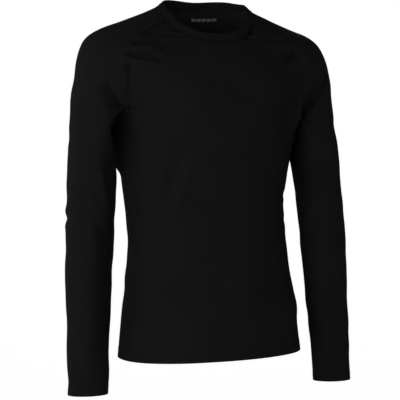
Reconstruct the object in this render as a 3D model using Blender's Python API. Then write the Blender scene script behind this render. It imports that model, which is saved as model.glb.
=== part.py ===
"""Long-sleeved base layer top: raglan sleeves, crew neckband, filled out as worn.

Each cut piece is one closed wall of cloth. The whole garment is first one skin of
quads, worked out from the section tables below, and then parted at its seams.
X points to the wearer's left, the front faces -Y, and +Z is up. The origin is the
middle of the neck base, where a form or a wearer holds the garment.
"""

import bpy
import numpy as np

# ---- driving sizes, in metres
WALL = 0.0012  # jersey panels and sleeves
BAND_WALL = 0.0018  # folded neckband, two layers
SEAM_GAP = 0.0003  # clear gap between neighbouring pieces
MITRE_MOST = 1.6  # at a corner a seam edge draws back at most this many times its share
HEM_RISE = 0.026  # the hem climbs this much per metre towards the wearer's left
HEM_RISE_TOP = -0.35  # and is level from here up
SQUARENESS = 2.3  # of the torso sections: 2 is an ellipse

# Torso sections, from the hem up: height, half width, half depth, middle in y.
TORSO = (
    (-0.681, 0.1845, 0.1330, -0.0185),
    (-0.600, 0.1765, 0.1270, -0.0175),
    (-0.515, 0.1655, 0.1190, -0.012),
    (-0.430, 0.1595, 0.1150, 0.001),
    (-0.350, 0.1660, 0.1200, 0.0105),
    (-0.290, 0.1735, 0.1250, 0.011),
    (-0.255, 0.1735, 0.1245, 0.010),
)
# Sleeve sections, from the cuff up: height, middle in x, middle in y, half width, half depth.
SLEEVE = (
    (-0.746, 0.2605, -0.042, 0.0392, 0.0290),
    (-0.660, 0.2575, -0.035, 0.0412, 0.0345),
    (-0.560, 0.2540, -0.026, 0.0442, 0.0400),
    (-0.460, 0.2495, -0.020, 0.0470, 0.0455),
    (-0.380, 0.2445, -0.013, 0.0472, 0.0495),
    (-0.310, 0.2385, -0.006, 0.0488, 0.0545),
    (-0.255, 0.2320, 0.000, 0.0505, 0.0595),
)
# Paths over the yoke on the wearer's left, each from the underarm ring, by the chest,
# the shoulder and the collarbone, to the neck seam and the band's rim: x, y, z.
YOKE = {
    "front_middle": (
        (0.000, -0.118, -0.202),
        (0.000, -0.114, -0.154),
        (0.000, -0.101, -0.115),
        (0.000, -0.083, -0.088),
        (0.000, -0.066, -0.0675),
        (0.000, -0.0575, -0.0515),
    ),
    "front_mid": (
        (0.098, -0.106, -0.200),
        (0.103, -0.103, -0.150),
        (0.100, -0.090, -0.106),
        (0.083, -0.069, -0.076),
        (0.056, -0.053, -0.058),
        (0.050, -0.0455, -0.041),
    ),
    "front_seam": (
        (0.183, -0.059, -0.192),
        (0.192, -0.076, -0.136),
        (0.184, -0.070, -0.088),
        (0.144, -0.046, -0.050),
        (0.093, -0.020, -0.025),
        (0.082, -0.016, -0.0105),
    ),
    "arm_front": (
        (0.240, -0.052, -0.202),
        (0.240, -0.053, -0.139),
        (0.222, -0.038, -0.073),
        (0.169, -0.017, -0.036),
        (0.098, -0.005, -0.008),
        (0.0865, -0.003, 0.0035),
    ),
    "shoulder": (
        (0.2785, 0.004, -0.203),
        (0.2705, 0.0055, -0.141),
        (0.2445, 0.009, -0.060),
        (0.183, 0.010, -0.0305),
        (0.100, 0.009, 0.002),
        (0.0875, 0.008, 0.0125),
    ),
    "arm_back": (
        (0.240, 0.060, -0.202),
        (0.240, 0.067, -0.139),
        (0.222, 0.060, -0.071),
        (0.170, 0.046, -0.034),
        (0.095, 0.027, 0.003),
        (0.083, 0.024, 0.016),
    ),
    "back_seam": (
        (0.182, 0.072, -0.192),
        (0.186, 0.093, -0.132),
        (0.170, 0.094, -0.079),
        (0.130, 0.083, -0.039),
        (0.082, 0.050, 0.003),
        (0.071, 0.046, 0.0205),
    ),
    "back_mid": (
        (0.098, 0.124, -0.200),
        (0.098, 0.127, -0.140),
        (0.092, 0.121, -0.089),
        (0.076, 0.105, -0.039),
        (0.046, 0.072, 0.003),
        (0.042, 0.064, 0.0225),
    ),
    "back_middle": (
        (0.000, 0.134, -0.200),
        (0.000, 0.133, -0.142),
        (0.000, 0.126, -0.090),
        (0.000, 0.108, -0.041),
        (0.000, 0.080, 0.002),
        (0.000, 0.071, 0.0205),
    ),
}
UNDERARM = (0.179, 0.004, -0.219)  # highest point of the underarm seam
UNDERARM_ARCH = 0.030  # how strongly sleeve and side round into each other there
SIDE_START_DEG = 67  # round a torso section, from its front: where the raglan seam's foot stands
PULL_COLUMNS = 5  # columns over which body and sleeve ease to their common seam
SLEEVE_INNER_DEG = 55  # either side of a sleeve's inner line, the part that faces the torso

# Largest folds: panel, ends as x and z, half width across, depth inwards (ridges are negative).
FOLDS = (
    ("front_body", -0.093, -0.287, -0.133, -0.410, 0.016, 0.0035),
    ("front_body", -0.073, -0.290, -0.112, -0.412, 0.016, -0.0025),
    ("front_body", -0.160, -0.058, -0.080, -0.064, 0.008, 0.0030),
    ("front_body", -0.181, -0.076, -0.130, -0.078, 0.008, 0.0045),
    ("front_body", -0.190, -0.094, -0.140, -0.104, 0.008, 0.0035),
    ("front_body", 0.058, -0.066, 0.090, -0.058, 0.008, 0.0025),
    ("right_sleeve", -0.224, -0.160, -0.180, -0.212, 0.010, 0.0040),
    ("left_sleeve", 0.228, -0.132, 0.184, -0.200, 0.010, 0.0040),
    ("right_sleeve", -0.213, -0.335, -0.232, -0.420, 0.012, 0.0035),
    ("left_sleeve", 0.215, -0.350, 0.236, -0.425, 0.012, 0.0035),
    ("back_body", -0.030, -0.395, 0.090, -0.425, 0.018, 0.0035),
    ("back_body", -0.100, -0.455, 0.020, -0.470, 0.018, 0.0035),
)
FOLD_REACH = 0.04  # a fold only moves cloth this near to its own line, along the cloth's normal
FOLD_END = 0.08  # share of a fold's arch that is cut off at either end
THINNEST = 0.6  # a wall's inner point moves further by at most one over this

# How finely the skin is cut: quads across each named stretch and up each step of a table.
ACROSS = {"main": 8, "side": 3, "sleeve": 14}
UP_TORSO = (3, 3, 3, 3, 3, 2)
UP_SLEEVE = (3, 4, 4, 3, 3, 3)
UP_YOKE = (4, 4, 4, 4)
UP_ARMPIT = (0.35, 0.65, 0.87, 1.0)  # shares of the step from the last section to the underarm
UP_BAND = 2
DENSE = 241  # points of a line before it is cut up evenly
FINE_STEP = 100  # rows of the armpit step from which UP_ARMPIT picks
LOOK_BACK = 0.02  # share of the last step over which a side's direction is taken

LABEL_SIZE = (0.016, 0.008)  # round the body and up
LABEL_WALL = 0.001
LABEL_OFF = 0.0004  # clear of the panel
LABEL_FROM_SEAM = 0.003
LABEL_ABOVE_HEM = 0.010

COLOURS = {
    "front_body": (0.012, 0.012, 0.013),
    "back_body": (0.011, 0.011, 0.012),
    "right_sleeve": (0.013, 0.013, 0.014),
    "left_sleeve": (0.013, 0.013, 0.014),
    "neckband": (0.016, 0.016, 0.017),
    "side_label": (0.045, 0.045, 0.047),
}
ROUGHNESS = 0.85


# ---- curves
def cubic(knots, values, at):
    """The curve with continuous curvature through values at the knots, read at each number in at."""
    gap = np.diff(knots)
    count = len(knots)
    system = np.eye(count)
    right = np.zeros((count, values[0].size))
    flat = values.reshape(count, -1)
    for i in range(1, count - 1):
        system[i, i - 1 : i + 2] = gap[i - 1], 2 * (gap[i - 1] + gap[i]), gap[i]
        right[i] = 6 * ((flat[i + 1] - flat[i]) / gap[i] - (flat[i] - flat[i - 1]) / gap[i - 1])
    bend = np.linalg.solve(system, right)
    k = np.clip(np.searchsorted(knots, at, side="right") - 1, 0, count - 2)
    a = ((knots[k + 1] - at) / gap[k])[:, None]
    b = 1 - a
    curl = (a**3 - a) * bend[k] + (b**3 - b) * bend[k + 1]
    out = a * flat[k] + b * flat[k + 1] + curl * (gap[k] ** 2)[:, None] / 6
    return out.reshape((len(at),) + values[0].shape)


def lengths(points):
    """The distance along a line of points at each of them."""
    steps = np.linalg.norm(np.diff(points, axis=0), axis=-1)
    return np.concatenate([[0.0], np.cumsum(steps)])


def evenly(line, count):
    """count + 1 points evenly along a dense line."""
    along = lengths(line)
    at = np.linspace(0, along[-1], count + 1)
    return np.stack([np.interp(at, along, line[:, k]) for k in range(3)], axis=1)


# ---- sections, each a dict of stretches on the wearer's left
def torso_ring(height, half_width, half_depth, middle_y, across):
    """Half a torso section, from the front middle round by the side to the back middle."""

    def stretch(start, end, count):
        turn = np.radians(np.linspace(start, end, DENSE))
        x = half_width * np.abs(np.sin(turn)) ** (2 / SQUARENESS)
        y = middle_y - half_depth * np.sign(np.cos(turn)) * np.abs(np.cos(turn)) ** (2 / SQUARENESS)
        return evenly(np.stack([x, y, np.full(DENSE, height)], axis=1), count)

    foot = SIDE_START_DEG
    return {
        "front": stretch(0, foot, across["main"]),
        "front_side": stretch(foot, 90, across["side"]),
        "back_side": stretch(90, 180 - foot, across["side"]),
        "back": stretch(180 - foot, 180, across["main"]),
    }


def sleeve_ring(height, middle_x, middle_y, half_width, half_depth, across):
    """A sleeve section: the part seen from outside, and the part that faces the torso."""

    def stretch(start, end, count):
        turn = np.radians(np.linspace(start, end, DENSE))
        x = middle_x - half_width * np.cos(turn)
        y = middle_y - half_depth * np.sin(turn)
        return evenly(np.stack([x, y, np.full(DENSE, height)], axis=1), count)

    inner = SLEEVE_INNER_DEG
    return {
        "sleeve": stretch(inner, 360 - inner, across["sleeve"]),
        "inner_back": stretch(-inner, 0, across["side"]),
        "inner_front": stretch(0, inner, across["side"]),
    }


def yoke_ring(step, across):
    """A closed smooth ring through the named paths at one step, cut into its three stretches."""
    left = np.array([YOKE[name][step] for name in YOKE])
    right = left[-2:0:-1] * (-1, 1, 1)
    ring = np.concatenate([left, right, left, right, left])
    knots = lengths(ring)
    start = len(left) + len(right)
    names = list(YOKE)

    def stretch(first, last, count):
        low = knots[start + names.index(first)]
        high = knots[start + names.index(last)]
        return evenly(cubic(knots, ring, np.linspace(low, high, DENSE)), count)

    return {
        "front": stretch("front_middle", "front_seam", across["main"]),
        "sleeve": stretch("front_seam", "back_seam", across["sleeve"]),
        "back": stretch("back_seam", "back_middle", across["main"]),
    }


def underarm_line(front_foot, back_foot, count):
    """The underarm seam from its front foot, under the arm, to its back foot."""
    low = np.array(UNDERARM)
    points = np.array([front_foot, low, back_foot])
    reach = lengths(points)
    turn = np.linspace(0, 1, DENSE)[:, None]
    level = np.array((0.0, reach[2] / 2, 0.0))
    first = hermite(points[0], low, low - points[0], level, turn)
    second = hermite(low, points[2], level, points[2] - low, turn)
    return np.concatenate([evenly(first, count), evenly(second, count)[1:]])


def hermite(start, end, leave, arrive, t):
    """The cubic from start to end with the given directions there, at each share t."""
    return (
        (2 * t**3 - 3 * t**2 + 1) * start
        + (t**3 - 2 * t**2 + t) * leave
        + (3 * t**2 - 2 * t**3) * end
        + (t**3 - t**2) * arrive
    )


def rows_through(rings, ups):
    """Rows of points through a stack of rings: ups quads from each ring to the next."""
    rings = np.array(rings)
    index = np.concatenate([i + np.arange(n) / n for i, n in enumerate(ups)] + [[len(ups)]])
    out = np.empty((len(index), rings.shape[1], 3))
    for j in range(rings.shape[1]):
        knots = lengths(rings[:, j])
        at = np.interp(index, np.arange(len(rings)), knots)
        out[:, j] = cubic(knots, rings[:, j], at)
    return out


def rise_to(rings, rows, line, arch, shares):
    """Adds the rows from the last ring to the underarm line, rounding over in the arch's direction."""
    knots = np.arange(len(rings), dtype=float)
    end = knots[-1]
    stack = np.array(rings)
    slope = (stack[-1] - cubic(knots, stack, np.array([end - LOOK_BACK]))[0]) / LOOK_BACK
    climb = line - stack[-1]
    weight = 1 - np.linspace(-1, 1, len(line)) ** 2
    arrive = climb * (1 - weight[:, None]) + np.array((arch, 0, 0)) * weight[:, None]
    slope *= np.linalg.norm(climb, axis=1)[:, None] / np.linalg.norm(slope, axis=1)[:, None]
    added = [hermite(stack[-1], line, slope, arrive, share) for share in shares]
    return np.concatenate([rows, np.array(added)])


def pull(grid, column, target):
    """Moves one edge column of a grid onto target, and its neighbours less and less."""
    shift = target - grid[:, column]
    step = 1 if column == 0 else -1
    for k in range(PULL_COLUMNS):
        grid[:, column + step * k] += shift * np.cos(np.pi / 2 * k / PULL_COLUMNS) ** 2


def half_garment(across, up_torso, up_sleeve, up_yoke, up_armpit, up_band):
    """Patches of points, (panel, grid of rows up and columns round), on the wearer's left."""
    torso = [torso_ring(*row, across) for row in TORSO]
    sleeve = [sleeve_ring(*row, across) for row in SLEEVE]
    steps = len(YOKE["shoulder"])
    yoke = [yoke_ring(step, across) for step in range(steps)]

    def through(lower, ups, name):
        """Rows up to the last section, the armpit step and the yoke on one smooth curve."""
        rings = [r[name] for r in lower] + [r[name] for r in yoke[:-1]]
        fine = rows_through(rings, (*ups, FINE_STEP, *up_yoke))
        first = sum(ups)
        picked = first + np.rint(np.array((0, *up_armpit)) * FINE_STEP).astype(int)
        rows = np.concatenate([np.arange(first), picked, np.arange(picked[-1] + 1, len(fine))])
        return fine[rows]

    front = through(torso, up_torso, "front")
    back = through(torso, up_torso, "back")
    arm = through(sleeve, up_sleeve, "sleeve")
    line = underarm_line(yoke[0]["front"][-1], yoke[0]["back"][0], across["side"])
    both = across["side"] * 2

    side_rings = [np.concatenate([r["front_side"], r["back_side"][1:]]) for r in torso]
    side = rise_to(side_rings, rows_through(side_rings, up_torso), line, UNDERARM_ARCH, up_armpit)
    inner_rings = [np.concatenate([r["inner_back"], r["inner_front"][1:]]) for r in sleeve]
    inner_rows = rows_through(inner_rings, up_sleeve)
    inner = rise_to(inner_rings, inner_rows, line[::-1], -UNDERARM_ARCH, up_armpit)
    for main, main_column, arm_column in ((front, -1, 0), (back, 0, -1)):
        seam = (main[len(side) :, main_column] + arm[len(inner) :, arm_column]) / 2
        pull(main[len(side) :], main_column, seam)
        pull(arm[len(inner) :], arm_column, seam)
    side[:, 0] = front[: len(side), -1]
    side[:, both] = back[: len(side), 0]
    inner[:, 0] = arm[: len(inner), -1]
    inner[:, both] = arm[: len(inner), 0]
    if not np.allclose(side[-1], inner[-1, ::-1], atol=1e-9):
        raise ValueError("side and sleeve don't meet on the underarm line")

    foot, rim = [np.concatenate([r["front"], r["sleeve"][1:], r["back"][1:]]) for r in yoke[-2:]]
    share = np.linspace(0, 1, up_band + 1)[:, None, None]
    band = foot * (1 - share) + rim * share
    half = across["side"]
    return [
        ("front_body", front),
        ("front_body", side[:, : half + 1]),
        ("back_body", side[:, half:]),
        ("back_body", back),
        ("left_sleeve", arm),
        ("left_sleeve", inner),
        ("neckband", band),
    ]


PANELS = ("front_body", "back_body", "right_sleeve", "left_sleeve", "neckband")


def whole_garment():
    """(points, quads, panel number of each quad) of the welded skin, outside outwards."""
    points = []
    quads = []
    panels = []
    count = 0
    for name, grid in half_garment(ACROSS, UP_TORSO, UP_SLEEVE, UP_YOKE, UP_ARMPIT, UP_BAND):
        rows, columns = grid.shape[:2]
        number = np.arange(rows * columns).reshape(rows, columns)
        quad = np.stack([number[:-1, :-1], number[:-1, 1:], number[1:, 1:], number[1:, :-1]], axis=-1)
        quad = quad.reshape(-1, 4)
        for side in (1, -1):
            points.append(grid.reshape(-1, 3) * (side, 1, 1))
            quads.append((quad if side == 1 else quad[:, ::-1]) + count)
            label = name if side == 1 else name.replace("left", "right")
            panels += [PANELS.index(label)] * len(quad)
            count += rows * columns
    points = np.concatenate(points)
    quads = np.concatenate(quads)
    _, first, inverse = np.unique(np.round(points, 7), axis=0, return_index=True, return_inverse=True)
    return points[first], inverse.reshape(-1)[quads], np.array(panels)


def normals_of(points, quads):
    """The outward normal at each point, weighted by the faces round it."""
    corner = points[quads]
    face = np.cross(corner[:, 2] - corner[:, 0], corner[:, 3] - corner[:, 1])
    total = np.zeros_like(points)
    for k in range(4):
        np.add.at(total, quads[:, k], face)
    return total / np.linalg.norm(total, axis=1)[:, None]


def fold(points, quads, panels):
    """Moves the skin in or out along its normals, as the table of folds says."""
    normals = normals_of(points, quads)
    moved = points.copy()
    low = np.clip((HEM_RISE_TOP - points[:, 2]) / (HEM_RISE_TOP - TORSO[0][0]), 0, 1)
    body = np.unique(quads[np.isin(panels, (PANELS.index("front_body"), PANELS.index("back_body")))])
    moved[body, 2] += HEM_RISE * points[body, 0] * low[body] ** 2
    for panel, x0, z0, x1, z1, width, depth in FOLDS:
        on = np.unique(quads[panels == PANELS.index(panel)])
        facing = on[(normals[on, 1] > 0) == (panel == "back_body")]
        ends = []
        for x, z in ((x0, z0), (x1, z1)):
            off = np.hypot(points[facing, 0] - x, points[facing, 2] - z)
            ends.append(np.array((x, points[facing[off.argmin()], 1], z)))
        run = ends[1] - ends[0]
        share = np.clip((points - ends[0]) @ run / (run @ run), 0, 1)
        away = points - ends[0] - share[:, None] * run
        lift = (away * normals).sum(axis=1)
        apart = np.sqrt(np.maximum((away**2).sum(axis=1) - lift**2, 0))
        arch = np.sin(np.pi * (FOLD_END + (1 - 2 * FOLD_END) * share))
        depth_here = depth * np.exp(-((apart / width) ** 2)) * arch
        near = np.exp(-((lift / FOLD_REACH) ** 4))
        inside = np.zeros(len(points))
        inside[on] = 1
        moved -= normals * (depth_here * near * inside)[:, None]
    return moved


def wall(points, quads, normals, thickness, inset):
    """(vertices, triangles) of the closed wall over quads: outer skin, inner skin and rim."""
    used, faces = np.unique(quads, return_inverse=True)
    faces = faces.reshape(-1, 4)
    outer = points[used] + inset[used]
    inner = outer - normals[used] * thickness[used][:, None]
    one = np.linalg.norm(outer[faces[:, 0]] - outer[faces[:, 2]], axis=1)
    other = np.linalg.norm(outer[faces[:, 1]] - outer[faces[:, 3]], axis=1)
    turned = np.where((one <= other)[:, None], faces, np.roll(faces, -1, axis=1))
    skin = np.concatenate([turned[:, [0, 1, 2]], turned[:, [0, 2, 3]]])
    rim = edges_of(faces)
    rim = rim[~np.isin(rim[:, 0] * len(used) + rim[:, 1], rim[:, 1] * len(used) + rim[:, 0])]
    far = len(used)
    # Both pieces at a seam part their twisted rim quads along the same diagonal.
    up = rim[:, 0] < rim[:, 1]
    a, b = rim[up].T
    c, d = rim[~up].T
    sides = [
        np.stack([b, a, b + far], axis=1),
        np.stack([a, a + far, b + far], axis=1),
        np.stack([d, c, c + far], axis=1),
        np.stack([d, c + far, d + far], axis=1),
    ]
    return np.concatenate([outer, inner]), np.concatenate([skin, skin[:, ::-1] + far, *sides])


def edges_of(quads):
    return np.concatenate([quads[:, [k, (k + 1) % 4]] for k in range(4)])


def drawn_back(points, quads, panels, number):
    """How far each point of one panel draws back, across its seam edges, to leave SEAM_GAP."""
    own = quads[panels == number]
    corner = points[own]
    face = np.cross(corner[:, 2] - corner[:, 0], corner[:, 3] - corner[:, 1])
    edges = edges_of(own)
    count = len(points)
    others = edges_of(quads[panels != number])
    at_seam = np.isin(edges[:, 0] * count + edges[:, 1], others[:, 1] * count + others[:, 0])
    edges = edges[at_seam]
    across = np.cross(np.tile(face, (4, 1))[at_seam], points[edges[:, 1]] - points[edges[:, 0]])
    across /= np.linalg.norm(across, axis=1)[:, None]
    total = np.zeros_like(points)
    times = np.zeros(count)
    for k in range(2):
        np.add.at(total, edges[:, k], across)
        np.add.at(times, edges[:, k], 1)
    mean = total / np.maximum(times, 1)[:, None]
    size = np.linalg.norm(mean, axis=1)
    reach = SEAM_GAP / 2 * np.minimum(1 / np.maximum(size, 1e-6), MITRE_MOST)
    return mean / np.maximum(size, 1e-12)[:, None] * reach[:, None]


def evened(normals, quads, points):
    """Each point's share by which its inner point moves further, so that a fold's wall isn't thin."""
    corner = points[quads]
    face = np.cross(corner[:, 2] - corner[:, 0], corner[:, 3] - corner[:, 1])
    face /= np.linalg.norm(face, axis=1)[:, None]
    least = np.ones(len(points))
    for k in range(4):
        np.minimum.at(least, quads[:, k], (face * normals[quads[:, k]]).sum(axis=1))
    return 1 / np.maximum(least, THINNEST)


def add(name, vertices, faces, collection):
    """Makes one piece with its own material from its vertices and faces."""
    mesh = bpy.data.meshes.new(name)
    mesh.from_pydata([tuple(v) for v in vertices], [], [tuple(int(i) for i in f) for f in faces])
    mesh.validate()
    material = bpy.data.materials.new(name)
    material.use_nodes = True
    shader = material.node_tree.nodes["Principled BSDF"]
    shader.inputs["Base Color"].default_value = (*COLOURS[name], 1)
    shader.inputs["Roughness"].default_value = ROUGHNESS
    material.diffuse_color = (*COLOURS[name], 1)
    mesh.materials.append(material)
    collection.objects.link(bpy.data.objects.new(name, mesh))


def label_wall(points, quads, panels, normals):
    """A small tab on the front panel beside the left side seam, laid on the panel's own points."""
    front = np.unique(quads[panels == PANELS.index("front_body")])
    back = np.unique(quads[panels == PANELS.index("back_body")])
    seam = np.intersect1d(front, back)
    seam = seam[points[seam, 0] > 0]
    foot, above = seam[np.argsort(points[seam, 2])[:2]]
    rest = np.setdiff1d(front, seam)
    beside = rest[np.linalg.norm(points[rest] - points[foot], axis=1).argmin()]
    run = points[beside] - points[foot]
    run /= np.linalg.norm(run)
    out = np.cross(points[above] - points[foot], run)
    out /= np.linalg.norm(out) * np.sign(out @ normals[foot])
    rise = np.cross(run, out)
    rise *= np.sign(rise[2])
    start = points[foot] + run * LABEL_FROM_SEAM + rise * LABEL_ABOVE_HEM + out * LABEL_OFF
    across = run * LABEL_SIZE[0]
    up = rise * LABEL_SIZE[1]
    base = [start, start + across, start + across + up, start + up]
    vertices = base + [p + out * LABEL_WALL for p in base]
    faces = [(0, 1, 2, 3), (7, 6, 5, 4), (1, 0, 4, 5), (2, 1, 5, 6), (3, 2, 6, 7), (0, 3, 7, 4)]
    return vertices, faces


def main():
    """Builds the garment in an emptied scene."""
    for old in list(bpy.data.objects):
        bpy.data.objects.remove(old, do_unlink=True)
    collection = bpy.data.collections.new("base_layer_top")
    bpy.context.scene.collection.children.link(collection)

    points, quads, panels = whole_garment()
    points = fold(points, quads, panels)
    normals = normals_of(points, quads)
    further = evened(normals, quads, points)
    for number, name in enumerate(PANELS):
        thickness = further * (BAND_WALL if name == "neckband" else WALL)
        inset = drawn_back(points, quads, panels, number)
        vertices, faces = wall(points, quads[panels == number], normals, thickness, inset)
        add(name, vertices, faces, collection)
    vertices, faces = label_wall(points, quads, panels, normals)
    add("side_label", vertices, faces, collection)


main()
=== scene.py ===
"""Long-sleeved base layer top: cloth, sewing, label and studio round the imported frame.

X points to the wearer's left, the front faces -Y, +Z is up, and the origin is the
middle of the neck base. All lengths are in metres.
"""

import math
from functools import lru_cache
from itertools import product
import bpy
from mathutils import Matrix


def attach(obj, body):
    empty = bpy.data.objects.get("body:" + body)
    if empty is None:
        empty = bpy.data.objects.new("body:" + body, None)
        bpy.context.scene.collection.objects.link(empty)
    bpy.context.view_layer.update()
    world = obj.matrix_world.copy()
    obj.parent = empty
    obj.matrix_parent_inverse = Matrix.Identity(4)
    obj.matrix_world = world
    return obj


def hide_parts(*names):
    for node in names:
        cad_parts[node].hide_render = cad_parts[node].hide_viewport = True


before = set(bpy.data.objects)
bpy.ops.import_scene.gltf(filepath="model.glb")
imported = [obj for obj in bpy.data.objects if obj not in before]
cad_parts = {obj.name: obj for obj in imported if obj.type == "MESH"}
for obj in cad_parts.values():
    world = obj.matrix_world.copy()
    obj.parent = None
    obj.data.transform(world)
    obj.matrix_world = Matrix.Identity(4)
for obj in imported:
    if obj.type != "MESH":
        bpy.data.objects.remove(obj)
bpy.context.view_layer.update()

from types import SimpleNamespace

import bpy
import numpy as np
from bpy.props import FloatProperty, FloatVectorProperty, PointerProperty
from mathutils import Matrix, Vector

bl_info = {
    "name": "Base layer top",
    "version": (1, 0, 0),
    "blender": (4, 5, 0),
    "location": "3D View > Sidebar > Base layer",
    "description": "Makes a long-sleeved knit top as worn, with its sewing and a studio",
    "category": "Object",
}

# ---- the form: the same sections and paths as the solids
SQUARENESS = 2.3
HEM_RISE = 0.026
HEM_RISE_TOP = -0.35
# Torso sections, from the hem up: height, half width, half depth, middle in y.
TORSO = (
    (-0.681, 0.1845, 0.133, -0.0185),
    (-0.6, 0.1765, 0.127, -0.0175),
    (-0.515, 0.1655, 0.119, -0.012),
    (-0.43, 0.1595, 0.115, 0.001),
    (-0.35, 0.166, 0.12, 0.0105),
    (-0.29, 0.1735, 0.125, 0.011),
    (-0.255, 0.1735, 0.1245, 0.01),
)
# Sleeve sections, from the cuff up: height, middle in x, middle in y, half width, half depth.
SLEEVE = (
    (-0.746, 0.2605, -0.042, 0.0392, 0.029),
    (-0.66, 0.2575, -0.035, 0.0412, 0.0345),
    (-0.56, 0.254, -0.026, 0.0442, 0.04),
    (-0.46, 0.2495, -0.02, 0.047, 0.0455),
    (-0.38, 0.2445, -0.013, 0.0472, 0.0495),
    (-0.31, 0.2385, -0.006, 0.0488, 0.0545),
    (-0.255, 0.232, 0, 0.0505, 0.0595),
)
# Paths over the yoke on the wearer's left, from the underarm ring, by the chest,
# the shoulder and the collarbone, to the neck seam and the band's rim: x, y, z.
YOKE = {
    "front_middle": (
        (0, -0.118, -0.202), (0, -0.114, -0.154), (0, -0.101, -0.115),
        (0, -0.083, -0.088), (0, -0.066, -0.0675), (0, -0.0575, -0.0515),
    ),
    "front_mid": (
        (0.098, -0.106, -0.2), (0.103, -0.103, -0.15), (0.1, -0.09, -0.106),
        (0.083, -0.069, -0.076), (0.056, -0.053, -0.058), (0.05, -0.0455, -0.041),
    ),
    "front_seam": (
        (0.183, -0.059, -0.192), (0.192, -0.076, -0.136), (0.184, -0.07, -0.088),
        (0.144, -0.046, -0.05), (0.093, -0.02, -0.025), (0.082, -0.016, -0.0105),
    ),
    "arm_front": (
        (0.24, -0.052, -0.202), (0.24, -0.053, -0.139), (0.222, -0.038, -0.073),
        (0.169, -0.017, -0.036), (0.098, -0.005, -0.008), (0.0865, -0.003, 0.0035),
    ),
    "shoulder": (
        (0.2785, 0.004, -0.203), (0.2705, 0.0055, -0.141), (0.2445, 0.009, -0.06),
        (0.183, 0.01, -0.0305), (0.1, 0.009, 0.002), (0.0875, 0.008, 0.0125),
    ),
    "arm_back": (
        (0.24, 0.06, -0.202), (0.24, 0.067, -0.139), (0.222, 0.06, -0.071),
        (0.17, 0.046, -0.034), (0.095, 0.027, 0.003), (0.083, 0.024, 0.016),
    ),
    "back_seam": (
        (0.182, 0.072, -0.192), (0.186, 0.093, -0.132), (0.17, 0.094, -0.079),
        (0.13, 0.083, -0.039), (0.082, 0.05, 0.003), (0.071, 0.046, 0.0205),
    ),
    "back_mid": (
        (0.098, 0.124, -0.2), (0.098, 0.127, -0.14), (0.092, 0.121, -0.089),
        (0.076, 0.105, -0.039), (0.046, 0.072, 0.003), (0.042, 0.064, 0.0225),
    ),
    "back_middle": (
        (0, 0.134, -0.2), (0, 0.133, -0.142), (0, 0.126, -0.09),
        (0, 0.108, -0.041), (0, 0.08, 0.002), (0, 0.071, 0.0205),
    ),
}
UNDERARM = (0.179, 0.004, -0.219)
UNDERARM_ARCH = 0.030
PULL_MAIN = 5 / 8  # share of a panel's columns that ease to the common seam
PULL_SLEEVE = 5 / 14
LOOK_BACK = 0.02
DENSE = 481

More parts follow.
